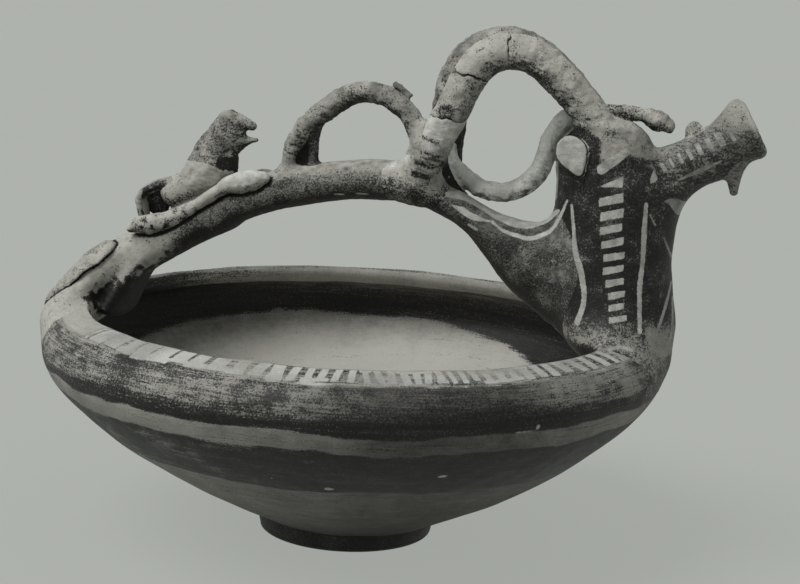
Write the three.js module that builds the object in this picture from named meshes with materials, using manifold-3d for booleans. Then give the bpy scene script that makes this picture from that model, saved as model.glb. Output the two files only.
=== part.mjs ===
// A hand-built ceramic bowl with a basket handle. The right end of the handle grows into a hollow
// neck with a goat's head, whose tubular snout is the pouring spout. The goat's two long horns sweep
// back to the handle, a snake climbs from the handle over the goat's brow, a small carrying loop
// stands beside the horns, and a crouching dog with a long tail lies on the left side of the handle.
// Each piece is a separate lump of clay, as the potter forms it before luting it to its neighbours.
// Units are millimetres, +Z is up, +X runs along the handle towards the spout, and the origin is the
// centre of the underside of the foot.
import * as THREE from "three";
import { mergeVertices } from "three/addons/utils/BufferGeometryUtils.js";
import Module from "manifold-3d";

const wasm = await Module();
wasm.setup();

// Driving dimensions

const luteGap = 0.3; // the film of slip between two luted pieces

const footRadius = 42.5;
const footTopRadius = 43.5;
const footHeight = 12;
const footToe = 1.2; // the bevel round the underside

const bowlRadius = 150; // the widest place, at the shoulder
const shoulderHeight = 91;
const lipRadius = 129; // the mouth, inside the turned-in lip
const lipHeight = 109;
const bowlWall = 7.5;
const lipThickness = 9;
const bowlFloor = 9;

const handleRise = 64.5; // from the lip to the middle of the handle's crown
const handleHalfThickness = 9.5;
const handleHalfWidth = 13;
const handleRootHalfWidth = 47; // the left end spreads along the rim

const neckHeight = 69; // from the lip to the joint under the head
const neckHalfLength = 29; // along the handle
const neckHalfWidth = 26; // across the handle
const neckRootHalfWidth = 39; // the base spreads along the rim
const neckSkirt = 10; // how far the base laps down over the lip
const neckInset = 7; // from the lip back to the middle of the neck
const neckWall = 7;

const headHeight = 31.5;
const headWall = 7;
const snoutLength = 67;
const snoutRise = 25; // degrees above the horizontal
const snoutRadius = 10.4;
const snoutBore = 6;
const mouthRadius = 14.5;
const mouthLift = 4;
const mouthWall = 3.5;
const jawDepth = 5; // the extra thickness under the root of the snout
const beardLength = 16;
const beardRadius = 5.2;
const stubRadius = 3.6;
const earLength = 21;
const earWidth = 13;
const earThickness = 4.4;

const hornRadius = 8.4;
const hornRise = 29; // from the top of the head to the middle of the horn's crown
const hornSpread = 13; // from the middle plane to the middle of each horn

const loopRadius = 4.9;
const loopRise = 47.5; // from the handle's middle line to the middle of the loop's crown
const strutRadius = 2.6;

const snakeRadius = 5.4;
const snakeNeckRadius = 3.8;
const snakeSag = 16.3; // how far the snake's belly hangs below its start

const dogBodyRadius = 8.4;
const dogHeadRadius = 7.8;
const dogNeckLength = 22;
const dogJawLength = 9;
const legRadius = 4.4;
const tailRadius = 3.8;
const rumpRadius = 4.6;
const rumpHeight = 15;

// Clay solids

const bowlSegments = 48;
const across = new THREE.Vector3(0, 1, 0);

const point = (x, y, z) => new THREE.Vector3(x, y, z);
const smoothLine = (points) => new THREE.CatmullRomCurve3(points, false, "centripetal");
const degrees = (angle) => THREE.MathUtils.degToRad(angle);

// A closed three.js geometry as a solid that can be cut and joined.
function solidOf(geometry) {
  const bare = geometry.index ? geometry.toNonIndexed() : geometry;
  const onlyPosition = new THREE.BufferGeometry();
  onlyPosition.setAttribute("position", bare.getAttribute("position"));
  const merged = mergeVertices(onlyPosition, 1e-4);
  return new wasm.Manifold(
    new wasm.Mesh({
      numProp: 3,
      vertProperties: new Float32Array(merged.attributes.position.array),
      triVerts: new Uint32Array(merged.index.array),
    }),
  );
}

// The solid's faces as a geometry again.
function geometryOf(solid) {
  const mesh = solid.getMesh();
  const geometry = new THREE.BufferGeometry();
  geometry.setAttribute("position", new THREE.BufferAttribute(new Float32Array(mesh.vertProperties), 3));
  geometry.setIndex(new THREE.BufferAttribute(new Uint32Array(mesh.triVerts), 1));
  geometry.computeVertexNormals();
  return geometry;
}

// Rings of points, one after another, joined by a skin and closed by a fan at each end.
function loft(rings) {
  const sides = rings[0].length;
  const corners = rings.flat();
  const middle = (ring) => ring.reduce((sum, p) => sum.add(p), point(0, 0, 0)).divideScalar(sides);
  const first = corners.push(middle(rings[0])) - 1;
  const last = corners.push(middle(rings.at(-1))) - 1;
  const triangles = [];
  for (let ring = 0; ring + 1 < rings.length; ring += 1) {
    for (let side = 0; side < sides; side += 1) {
      const next = (side + 1) % sides;
      const a = ring * sides + side;
      const b = ring * sides + next;
      triangles.push(a, b, a + sides, b, b + sides, a + sides);
    }
  }
  const top = (rings.length - 1) * sides;
  for (let side = 0; side < sides; side += 1) {
    const next = (side + 1) % sides;
    triangles.push(first, next, side, last, top + side, top + next);
  }
  const geometry = new THREE.BufferGeometry().setFromPoints(corners);
  geometry.setIndex(triangles);
  return solidOf(geometry);
}

// The directions across and above a line that runs roughly along the handle.
function frameAt(line, t) {
  const along = line.getTangentAt(t);
  const side = across.clone().addScaledVector(along, -across.dot(along)).normalize();
  return { along, side, above: along.clone().cross(side) };
}

// An oval ring around a place on a line.
function ovalRing(line, t, halfWidth, halfThickness, sides, slide = 0) {
  const { along, side, above } = frameAt(line, t);
  const centre = line.getPointAt(t).addScaledVector(along, slide);
  return Array.from({ length: sides }, (_, i) => {
    const turn = (2 * Math.PI * i) / sides;
    return centre
      .clone()
      .addScaledVector(side, halfWidth * Math.cos(turn))
      .addScaledVector(above, halfThickness * Math.sin(turn));
  });
}

// A rolled coil of clay along a line. size(t) gives its half width and half thickness. An end that
// is free is rounded, and grow makes the coil thicker, for cutting its seat out of a neighbour.
function coil(line, options) {
  const { size, from = 0, to = 1, steps = 16, sides = 10, grow = 0, roundFrom, roundTo } = options;
  const rings = [];
  const roundSteps = 2;
  const addEnd = (t, direction) => {
    const [halfWidth, halfThickness] = size(t);
    const reach = Math.min(halfWidth, halfThickness) + grow;
    const cap = [];
    for (let i = 1; i <= roundSteps; i += 1) {
      const turn = (Math.PI / 2) * (i / (roundSteps + 0.35));
      const width = (halfWidth + grow) * Math.cos(turn);
      const thickness = (halfThickness + grow) * Math.cos(turn);
      cap.push(ovalRing(line, t, width, thickness, sides, direction * reach * Math.sin(turn)));
    }
    return cap;
  };
  if (roundFrom) rings.push(...addEnd(from, -1).reverse());
  for (let step = 0; step <= steps; step += 1) {
    const t = from + ((to - from) * step) / steps;
    const [halfWidth, halfThickness] = size(t);
    const slide = step === 0 ? -grow : step === steps ? grow : 0;
    rings.push(ovalRing(line, t, halfWidth + grow, halfThickness + grow, sides, slide));
  }
  if (roundTo) rings.push(...addEnd(to, 1));
  return loft(rings);
}

// Level oval rings, one above another. A ring with wrap follows the round rim in plan.
function stack(levels, { grow = 0, sides = 28 }) {
  const rings = levels.map(({ z, x, halfLength, halfWidth, wrap = 0 }) =>
    Array.from({ length: sides }, (_, i) => {
      const turn = (2 * Math.PI * i) / sides;
      const y = (halfWidth + grow) * Math.sin(turn);
      const bend = wrap * (lipRadius - Math.sqrt(Math.max(lipRadius ** 2 - y ** 2, 0)));
      return point(x + (halfLength + grow) * Math.cos(turn) - bend, y, z);
    }),
  );
  return loft(rings);
}

const ease = (t) => t * t * (3 - 2 * t);
const blend = (a, b, t) => a + (b - a) * ease(Math.min(Math.max(t, 0), 1));

// Bowl and foot

// The half section of the bowl, from the axis under the floor round the lip to the axis above it.
function bowlSection(grow = 0) {
  const seat = new THREE.Vector2(footTopRadius, footHeight + luteGap);
  const widest = new THREE.Vector2(bowlRadius, shoulderHeight);
  const belly = new THREE.Vector2(bowlRadius, THREE.MathUtils.lerp(footHeight, shoulderHeight, 0.64));
  const lip = new THREE.Vector2(lipRadius, lipHeight);
  const shoulder = new THREE.Vector2(bowlRadius - lipThickness / 9, lipHeight - lipThickness / 3);
  const outside = new THREE.QuadraticBezierCurve(seat, belly, widest).getPoints(8);
  const rim = new THREE.QuadraticBezierCurve(widest, shoulder, lip).getPoints(6).slice(1);
  const underLip = new THREE.Vector2(lipRadius + lipThickness * 0.22, lipHeight - lipThickness);
  const nose = new THREE.Vector2(lipRadius - lipThickness * 0.44, lipHeight - lipThickness / 2);
  const edge = new THREE.QuadraticBezierCurve(lip, nose, underLip).getPoints(3).slice(1);
  const hollow = new THREE.Vector2(bowlRadius - bowlWall, shoulderHeight - bowlWall);
  const innerBelly = new THREE.Vector2(bowlRadius - bowlWall, belly.y + bowlWall / 7.5);
  const innerShoulder = new THREE.Vector2(bowlRadius - bowlWall, lipHeight - lipThickness * 1.1);
  const floorEdge = new THREE.Vector2(footTopRadius * 0.7, footHeight + bowlFloor);
  const inside = [
    ...new THREE.QuadraticBezierCurve(underLip, innerShoulder, hollow).getPoints(3).slice(1),
    ...new THREE.QuadraticBezierCurve(hollow, innerBelly, floorEdge).getPoints(8).slice(1),
  ];
  const start = new THREE.Vector2(0, footHeight + luteGap);
  const end = new THREE.Vector2(0, footHeight + bowlFloor * 0.83);
  return offsetSection([start, ...outside, ...rim, ...edge, ...inside, end], grow);
}

// A half section moved outwards, square to its own line, with its ends kept on the axis.
function offsetSection(section, grow) {
  return section.map((corner, i) => {
    const before = section[Math.max(i - 1, 0)];
    const after = section[Math.min(i + 1, section.length - 1)];
    const run = after.clone().sub(before).normalize();
    const moved = new THREE.Vector2(corner.x + run.y * grow, corner.y - run.x * grow);
    return corner.x === 0 ? new THREE.Vector2(0, moved.y) : moved;
  });
}

// A half section turned about the Z axis.
const turned = (section) => solidOf(new THREE.LatheGeometry(section, bowlSegments).rotateX(Math.PI / 2));

function makeFoot() {
  const section = [
    [0, 0],
    [footRadius - footToe, 0],
    [footRadius, footToe],
    [footTopRadius, footHeight],
    [0, footHeight],
  ];
  return turned(section.map(([r, z]) => new THREE.Vector2(r, z)));
}

// Neck

const neckTop = lipHeight + neckHeight;
const neckX = lipRadius - neckInset;

function neckLevels() {
  const level = (rise, out, longer, width, wrap) => ({
    z: lipHeight + rise,
    x: neckX + out * neckHalfLength,
    halfLength: neckHalfLength * longer,
    halfWidth: width,
    wrap,
  });
  const spread = neckRootHalfWidth - neckHalfWidth;
  return [
    level(-neckSkirt, 0.33, 0.81, neckHalfWidth + spread, 1),
    level(neckHeight * 0.06, 0.14, 0.98, neckHalfWidth + spread * 0.72, 0.8),
    level(neckHeight * 0.23, 0.05, 1, neckHalfWidth + spread * 0.34, 0.5),
    level(neckHeight * 0.5, -0.02, 0.98, neckHalfWidth + spread * 0.08, 0.2),
    level(neckHeight * 0.8, 0, 1, neckHalfWidth, 0),
    level(neckHeight, 0, 1, neckHalfWidth * 0.98, 0),
  ];
}

// The channel inside the neck, which also pierces the rim below it.
function neckChannel() {
  const innerLength = neckHalfLength - neckWall;
  const innerWidth = neckHalfWidth - neckWall;
  const level = (rise, out, long, wide) => ({
    z: lipHeight + rise,
    x: neckX + out * innerLength,
    halfLength: innerLength * long,
    halfWidth: innerWidth * wide,
  });
  return stack(
    [
      level(-neckSkirt * 1.8, 0.18, 0.41, 0.74),
      level(-neckSkirt * 0.8, 0.32, 0.5, 1),
      level(neckHeight * 0.06, 0.36, 0.8, 1.21),
      level(neckHeight * 0.23, 0.11, 0.95, 1.16),
      level(neckHeight * 0.5, -0.02, 0.98, 1.05),
      level(neckHeight * 1.015, 0, 0.91, 0.95),
    ],
    { sides: 20 },
  );
}

// Handle

const archPoint = (outward, rise) => point(outward * lipRadius, 0, lipHeight + rise * handleRise);
const handleLine = smoothLine([
  archPoint(-1.075, -0.1),
  archPoint(-0.955, 0.2),
  archPoint(-0.8, 0.42),
  archPoint(-0.62, 0.62),
  archPoint(-0.35, 0.86),
  archPoint(0, 1),
  archPoint(0.2, 0.985),
  archPoint(0.375, 0.83),
  archPoint(0.53, 0.625),
  archPoint(0.67, 0.475),
  archPoint(0.8, 0.42),
]);

// Half width and half thickness: spread along the rim at the left, slim after the crown, and deep
// where the handle runs into the neck.
function handleSize(t) {
  const crown = 0.62;
  const slim = 0.78;
  const root = Math.max(0, 1 - t / 0.17);
  const deep = Math.max(0, (t - slim) / (1 - slim));
  const waist = Math.max(0, 1 - Math.abs(t - slim) / (slim - crown));
  const spread = (handleRootHalfWidth - handleHalfWidth) * root ** 1.6;
  const halfWidth = handleHalfWidth * (1 + 0.4 * deep) + spread;
  const halfThickness = handleHalfThickness * (1 + 0.18 * root - 0.22 * ease(waist) + 2 * deep ** 2);
  return [halfWidth, halfThickness];
}

const handleBody = (grow = 0) => coil(handleLine, { size: handleSize, steps: 30, sides: 14, grow });

// A place on the handle: t along it, out from its middle line in the direction of an angle that is
// 90 degrees straight up and 180 degrees towards the viewer's side.
function onHandle(t, angle, lift = 0) {
  const { side, above } = frameAt(handleLine, t);
  const [halfWidth, halfThickness] = handleSize(t);
  return handleLine
    .getPointAt(t)
    .addScaledVector(side, (halfWidth + lift) * Math.cos(degrees(angle)))
    .addScaledVector(above, (halfThickness + lift) * Math.sin(degrees(angle)));
}

// Head, snout, ears and beard

const headX = neckX;
const headTop = neckTop + headHeight;

function headLevels() {
  const level = (rise, out, halfLength, halfWidth) => ({
    z: neckTop + luteGap + rise * headHeight,
    x: headX + out * neckHalfLength,
    halfLength: neckHalfLength * halfLength,
    halfWidth: neckHalfWidth * halfWidth,
  });
  return [
    level(0, 0, 1, 0.98),
    level(0.23, -0.09, 0.94, 0.95),
    level(0.48, -0.19, 0.82, 0.88),
    level(0.7, -0.22, 0.71, 0.77),
    level(0.88, -0.17, 0.53, 0.58),
    level(0.97, -0.12, 0.32, 0.35),
    level(1, -0.1, 0.12, 0.13),
  ];
}

function headHollow() {
  const innerLength = neckHalfLength - headWall;
  const innerWidth = neckHalfWidth - headWall;
  const level = (rise, out, long, wide) => ({
    z: neckTop + rise * headHeight,
    x: headX + out * innerLength,
    halfLength: innerLength * long,
    halfWidth: innerWidth * wide,
  });
  return stack(
    [
      level(-0.05, 0, 0.91, 0.95),
      level(0.25, -0.11, 0.82, 0.9),
      level(0.5, -0.23, 0.64, 0.74),
      level(0.68, -0.27, 0.32, 0.42),
    ],
    { sides: 16 },
  );
}

const snoutAlong = point(Math.cos(degrees(snoutRise)), 0, Math.sin(degrees(snoutRise)));
const snoutUp = point(-snoutAlong.z, 0, snoutAlong.x);
const snoutStart = point(headX + snoutRadius * 0.2, 0, neckTop - snoutRadius * 0.05);
const snoutPlace = (share, lift = 0) =>
  snoutStart.clone().addScaledVector(snoutAlong, share * snoutLength).addScaledVector(snoutUp, lift);
// Round rings square to the tube. radius(share) gives their size and jaw(share) how far they reach
// further down; the mouth lifts above the tube's line.
function snoutTube(radius, { jaw = () => 0, from = 0, to = 1, steps = 11, sides = 16, grow = 0 }) {
  const rings = Array.from({ length: steps + 1 }, (_, step) => {
    const share = from + ((to - from) * step) / steps;
    const lift = mouthLift * Math.max(0, (share - 0.75) / 0.25) ** 1.5;
    const reach = radius(share) + grow;
    const drop = jaw(share) / 2;
    const centre = snoutPlace(share, lift - drop);
    return Array.from({ length: sides }, (_, i) => {
      const turn = (2 * Math.PI * i) / sides;
      return centre
        .clone()
        .addScaledVector(across, reach * Math.cos(turn))
        .addScaledVector(snoutUp, (reach + drop) * Math.sin(turn));
    });
  });
  return loft(rings);
}

const snoutJaw = (share) => jawDepth * (1 - ease(Math.min(Math.max((share - 0.4) / 0.45, 0), 1)));

function snoutOutside(share) {
  const flare = Math.max(0, (share - 0.78) / 0.22);
  const root = Math.max(0, 1 - share / 0.45);
  return snoutRadius + (mouthRadius - snoutRadius) * flare ** 1.6 + snoutRadius * 0.29 * root;
}

function snoutInside(share) {
  const flare = Math.max(0, (share - 0.8) / 0.2);
  return snoutBore + (mouthRadius - snoutBore - mouthWall) * flare ** 1.4;
}

const snoutBody = (grow = 0) => snoutTube(snoutOutside, { jaw: snoutJaw, grow });
const snoutChannel = () => snoutTube(snoutInside, { from: -0.02, to: 1.005, sides: 12 });

function beardCone() {
  const under = snoutPlace(0.82, -snoutRadius * 0.55);
  const tip = under.clone().add(point(beardLength * 0.09, 0, -beardLength));
  const line = smoothLine([under, under.clone().lerp(tip, 0.5), tip]);
  const size = (t) => {
    const radius = beardRadius * (1 - 0.62 * t);
    return [radius, radius];
  };
  return coil(line, { size, steps: 6, sides: 10, roundTo: true });
}

function stubKnob() {
  const foot = snoutPlace(0.6, snoutRadius * 0.7).add(point(0, stubRadius, 0));
  const line = smoothLine([0, 1, 2].map((i) => foot.clone().addScaledVector(snoutUp, i * stubRadius)));
  return coil(line, { size: () => [stubRadius, stubRadius], steps: 3, sides: 10, roundTo: true });
}

// A leaf of clay beside the head. side is -1 for the viewer's side.
function earLeaf(side) {
  const leaf = new THREE.Shape();
  leaf.moveTo(0, 0);
  const [long, wide] = [earLength, earWidth];
  leaf.bezierCurveTo(long * 0.15, wide * 0.75, long * 0.65, wide * 0.7, long, wide * 0.1);
  leaf.bezierCurveTo(long * 0.75, -wide * 0.45, long * 0.2, -wide * 0.5, 0, 0);
  const bevel = earThickness * 0.3;
  const geometry = new THREE.ExtrudeGeometry(leaf, {
    depth: earThickness - 2 * bevel,
    bevelThickness: bevel,
    bevelSize: bevel,
    bevelOffset: -bevel,
    bevelSegments: 2,
    curveSegments: 8,
  });
  geometry.translate(0, 0, -earThickness / 2 + bevel);
  // The leaf points back and up, and leans out from the head.
  geometry.rotateZ(degrees(180 - 42));
  geometry.rotateX(degrees(90 - 14 * side));
  const root = point(headX - neckHalfLength * 0.4, side * neckHalfWidth * 0.8, neckTop + headHeight * 0.32);
  geometry.translate(root.x, root.y, root.z);
  return solidOf(geometry);
}

// Horns

const hornTop = headTop + hornRise;

// A horn runs from its tip on the handle, over its crown, to its root in the head. seat and angle
// place the tip on the handle, side is -1 for the viewer's side, and bend lists the horn's course as
// shares of its run towards the head and of its rise to the crown.
function hornLine(seat, angle, side, bend) {
  const tip = onHandle(seat, angle, -hornRadius * 0.24);
  const root = point(headX - hornRadius * 0.48, side * hornSpread * 0.92, neckTop + headHeight * 0.62);
  const course = bend.map(([run, height]) =>
    point(tip.x + (root.x - tip.x) * run, side * hornSpread, tip.z + (hornTop - tip.z) * height),
  );
  return smoothLine([tip, ...course, root]);
}

const nearHornLine = hornLine(0.685, 140, -1, [
  [0.11, 0.3],
  [0.15, 0.5],
  [0.2, 0.69],
  [0.285, 0.85],
  [0.39, 0.965],
  [0.5, 1],
  [0.61, 0.96],
  [0.72, 0.85],
  [0.83, 0.695],
]);
const farHornLine = hornLine(0.727, 50, 1, [
  [0.01, 0.3],
  [0.02, 0.5],
  [0.05, 0.69],
  [0.13, 0.88],
  [0.25, 0.985],
  [0.38, 1.02],
  [0.5, 0.99],
  [0.62, 0.9],
  [0.75, 0.74],
]);

function hornSize(t) {
  const thick = hornRadius * (1 + 0.12 * Math.max(0, 1 - t / 0.2));
  return [thick, thick];
}

const hornBody = (line, grow = 0) => coil(line, { size: hornSize, steps: 24, sides: 10, grow });

// The viewer's horn is mended from four pieces. Each break is a share of the horn's length.
const hornBreaks = [0, 0.26, 0.37, 0.535, 1];

function hornSherd(line, index) {
  const length = line.getLength();
  const shrink = luteGap / 2 / length;
  const from = hornBreaks[index] + (index > 0 ? shrink : 0);
  const to = hornBreaks[index + 1] - (index + 2 < hornBreaks.length ? shrink : 0);
  const steps = Math.ceil((to - from) * 24);
  return coil(line, { size: hornSize, from, to, steps, sides: 10 });
}

// Loop beside the horns

const loopFoot = onHandle(0.46, 90, -loopRadius * 0.6);
const loopEnd = nearHornLine.getPointAt(0.1);
const loopTop = handleLine.getPointAt(0.46).z + loopRise;
const loopCourse = [
  [0.07, 0.32],
  [0.13, 0.48],
  [0.225, 0.69],
  [0.33, 0.865],
  [0.47, 0.98],
  [0.62, 1],
  [0.73, 0.925],
  [0.81, 0.795],
  [0.885, 0.635],
].map(([run, height]) => {
  const place = loopFoot.clone().lerp(loopEnd, run);
  place.z = loopFoot.z + (loopTop - loopFoot.z) * height;
  return place;
});
const loopLine = smoothLine([loopFoot, ...loopCourse, loopEnd]);
const loopSize = (t) => {
  const radius = loopRadius * (1 + 0.18 * Math.abs(2 * t - 1) ** 3);
  return [radius, radius];
};
const loopBody = (grow = 0) => coil(loopLine, { size: loopSize, steps: 22, sides: 10, grow });

function strutCoil() {
  const top = loopLine.getPointAt(0.25).add(point(loopRadius, loopRadius * 0.4, 0));
  const foot = onHandle(0.517, 80, -strutRadius * 0.6);
  return coil(smoothLine([foot, foot.clone().lerp(top, 0.5), top]), {
    size: () => [strutRadius, strutRadius],
    steps: 4,
    sides: 8,
  });
}

// Snake

// The tail end is luted to the far horn, the belly hangs over the saddle beside the neck, and the
// neck lies on the goat's brow between the horns.
const snakeStart = farHornLine.getPointAt(0.12);
const browTop = headTop + snakeNeckRadius + luteGap;
const snakeLow = snakeStart.z - snakeSag;
const snakePlace = (run, climb, y = 0) =>
  point(snakeStart.x + (headX - snakeStart.x) * run, y, snakeLow + (browTop - snakeLow) * climb);
const snakeLine = smoothLine([
  snakeStart,
  snakePlace(0.145, 0.12, snakeRadius),
  snakePlace(0.24, 0.02),
  snakePlace(0.337, 0),
  snakePlace(0.434, 0.05),
  snakePlace(0.512, 0.17),
  snakePlace(0.572, 0.31),
  snakePlace(0.6, 0.487),
  snakePlace(0.63, 0.665),
  snakePlace(0.685, 0.81),
  snakePlace(0.77, 0.93),
  snakePlace(0.88, 0.99),
  snakePlace(1, 1),
  snakePlace(1.07, 0.985),
  snakePlace(1.13, 0.95),
]);

const snakeSize = (t) => {
  const radius = blend(snakeRadius, snakeNeckRadius, (t - 0.45) / 0.25);
  return [radius, radius];
};

const snakeBody = (grow = 0) => coil(snakeLine, { size: snakeSize, steps: 32, sides: 8, grow });

function snakeHead() {
  const neck = snakeLine.getPointAt(1);
  const along = snakeLine.getTangentAt(1);
  const start = neck.clone().addScaledVector(along, luteGap);
  const end = start.clone().addScaledVector(along, snakeNeckRadius * 2.4);
  const size = (t) => {
    const swell = snakeNeckRadius * (1 + 0.32 * Math.sin(Math.PI * Math.min(t * 1.25, 1)));
    return [swell, swell * 1.08];
  };
  return coil(smoothLine([start, start.clone().lerp(end, 0.5), end]), {
    size,
    from: 0,
    to: 1,
    steps: 5,
    sides: 10,
    roundTo: true,
  });
}

// Dog on the left of the handle

const dogSeat = (t, lift) => onHandle(t, 90, lift);
const dogBackLine = smoothLine([
  dogSeat(0.222, dogBodyRadius * 0.55),
  dogSeat(0.26, dogBodyRadius * 0.75),
  dogSeat(0.31, dogBodyRadius * 0.95),
  dogSeat(0.355, dogBodyRadius * 1.1),
]);
const dogBodySize = (t) => {
  const radius = dogBodyRadius * (0.86 + 0.16 * Math.sin(Math.PI * t));
  return [radius * 0.95, radius];
};
const dogBody = (grow = 0) =>
  coil(dogBackLine, { size: dogBodySize, steps: 10, sides: 12, roundFrom: true, roundTo: true, grow });

const dogShoulder = dogBackLine.getPointAt(0.93);
const dogCrown = dogShoulder.clone().add(point(dogNeckLength * 0.36, 0, dogNeckLength * 0.93));
const dogNape = dogShoulder.clone().lerp(dogCrown, 0.5).add(point(dogNeckLength * 0.03, 0, 0));
const dogNeckLine = smoothLine([dogShoulder, dogNape, dogCrown]);
const dogNeckSize = (t) => {
  const radius = dogHeadRadius * (1.28 - 0.28 * ease(t));
  return [radius * 0.82, radius];
};
const dogHeadBody = (grow = 0) =>
  coil(dogNeckLine, { size: dogNeckSize, steps: 8, sides: 12, roundTo: true, grow });

// A jaw is a tapering finger of clay in front of the dog's face. lift and thick are shares of the
// head's radius, and dip is a share of the jaw's length.
function dogJaw(lift, dip, thick, grow = 0) {
  const start = dogCrown.clone().add(point(dogHeadRadius * 0.25, 0, dogHeadRadius * lift));
  const end = start.clone().add(point(dogJawLength, 0, dogJawLength * dip));
  const size = (t) => [dogHeadRadius * thick * (1.35 - 0.6 * t), dogHeadRadius * thick * (1 - 0.35 * t)];
  const line = smoothLine([start, start.clone().lerp(end, 0.5), end]);
  return coil(line, { size, steps: 5, sides: 10, roundTo: true, grow });
}

const upperJaw = (grow = 0) => dogJaw(0.1, 0.05, 0.42, grow);
const lowerJaw = () => dogJaw(-0.67, -0.09, 0.3);

// The legs on one side, stretched along the shoulder of the handle.
function dogLegs(side) {
  const angle = side < 0 ? 142 : 38;
  const line = smoothLine([0.178, 0.24, 0.3, 0.36, 0.412].map((t) => onHandle(t, angle, legRadius * 0.45)));
  const size = (t) => {
    const paw = legRadius * (1 + 0.18 * ease(t));
    return [paw, paw];
  };
  return coil(line, { size, steps: 8, sides: 8, roundFrom: true, roundTo: true });
}

function dogTail() {
  const line = smoothLine([0.004, 0.04, 0.08, 0.118].map((t) => onHandle(t, 96, tailRadius * 0.15)));
  const size = (t) => [tailRadius * (1.5 + 0.25 * Math.sin(Math.PI * t)), tailRadius];
  return coil(line, { size, steps: 7, sides: 8, roundFrom: true, roundTo: true });
}

function dogRump() {
  const foot = onHandle(0.19, 90, -rumpRadius * 0.2);
  const top = foot.clone().add(point(-rumpRadius * 0.33, 0, rumpHeight - rumpRadius));
  return coil(smoothLine([foot, foot.clone().lerp(top, 0.5), top]), {
    size: (t) => [rumpRadius * 1.25, rumpRadius * (1 - 0.1 * t)],
    steps: 5,
    sides: 10,
    roundTo: true,
  });
}

// Luting: each piece is cut to sit on the pieces that were there before it

const grown = luteGap;
const channel = neckChannel();
const bowl = turned(bowlSection()).subtract(channel);
const bowlSeat = turned(bowlSection(grown));
const neckSeat = stack(neckLevels(), { grow: grown });
const headSeat = stack(headLevels(), { grow: grown });
const handleSeat = handleBody(grown);
const snoutSeat = snoutBody(grown);
const nearHornSeat = hornBody(nearHornLine, grown);
const farHornSeat = hornBody(farHornLine, grown);
const dogBodySeat = dogBody(grown);
const dogHeadSeat = dogHeadBody(grown);
const upperJawSeat = upperJaw(grown);
const loopSeat = loopBody(grown);
const snakeSeat = snakeBody(grown);

const cut = (piece, ...seats) => seats.reduce((left, seat) => left.subtract(seat), piece);
const neck = cut(stack(neckLevels(), {}), channel, bowlSeat);
const handle = cut(handleBody(), neckSeat, bowlSeat);
const head = cut(stack(headLevels(), {}), headHollow(), snoutSeat);
const snout = cut(snoutBody(), snoutChannel(), headHollow(), neckSeat);

const pieces = {
  foot: makeFoot(),
  bowl,
  spout_neck: neck,
  basket_handle: handle,
  goat_head: head,
  snout_spout: snout,
  beard: cut(beardCone(), snoutSeat),
  broken_stub: cut(stubKnob(), snoutSeat),
  near_ear: cut(earLeaf(-1), headSeat, neckSeat),
  far_ear: cut(earLeaf(1), headSeat, neckSeat),
  near_horn_tip: cut(hornSherd(nearHornLine, 0), handleSeat),
  near_horn_lower: hornSherd(nearHornLine, 1),
  near_horn_crown: hornSherd(nearHornLine, 2),
  near_horn_root: cut(hornSherd(nearHornLine, 3), headSeat),
  far_horn: cut(hornBody(farHornLine), handleSeat, headSeat, nearHornSeat),
  carrying_loop: cut(loopBody(), handleSeat, nearHornSeat),
  loop_strut: cut(strutCoil(), handleSeat, loopSeat),
  snake_body: cut(snakeBody(), handleSeat, nearHornSeat, farHornSeat, headSeat, neckSeat),
  snake_head: cut(snakeHead(), snakeSeat),
  dog_body: cut(dogBody(), handleSeat),
  dog_head: cut(dogHeadBody(), dogBodySeat, handleSeat, upperJawSeat),
  dog_upper_jaw: upperJaw(),
  dog_lower_jaw: cut(lowerJaw(), dogHeadSeat, upperJawSeat),
  dog_near_legs: cut(dogLegs(-1), handleSeat, dogBodySeat, dogHeadSeat),
  dog_far_legs: cut(dogLegs(1), handleSeat, dogBodySeat, dogHeadSeat),
  dog_rump: cut(dogRump(), handleSeat, dogBodySeat),
  dog_tail: cut(dogTail(), handleSeat, bowlSeat),
};

// Finishes

const finish = (color, roughness) => new THREE.MeshStandardMaterial({ color, roughness, metalness: 0 });
const darkSlip = finish(0x3a3833, 0.62);
const wornSlip = finish(0x6f6d64, 0.78);
const paleClay = finish(0xa3a196, 0.86);
const finishes = {
  foot: darkSlip,
  bowl: darkSlip,
  spout_neck: darkSlip,
  goat_head: darkSlip,
  snout_spout: darkSlip,
  beard: darkSlip,
  basket_handle: wornSlip,
  near_ear: wornSlip,
  far_ear: wornSlip,
};

const vessel = new THREE.Group();
for (const [name, piece] of Object.entries(pieces)) {
  const mesh = new THREE.Mesh(geometryOf(piece), finishes[name] ?? paleClay);
  mesh.name = name;
  vessel.add(mesh);
}

export default vessel;
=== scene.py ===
# %% [markdown]
# # A hand-built bowl with a goat-headed spout
# The vessel is fired clay: a wide bowl on a low foot, a basket handle across its mouth, and a hollow
# neck with a goat's head whose snout pours. Horns, a snake, a small loop and a dog are luted on top.
# The frame holds the plain solids. This lesson makes each one again as a piece of real clay: softened,
# pressed onto its neighbours, worn and painted. It works in millimetres and turns them into metres
# only when a mesh is made.

# %% Load the frame
import math

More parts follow.
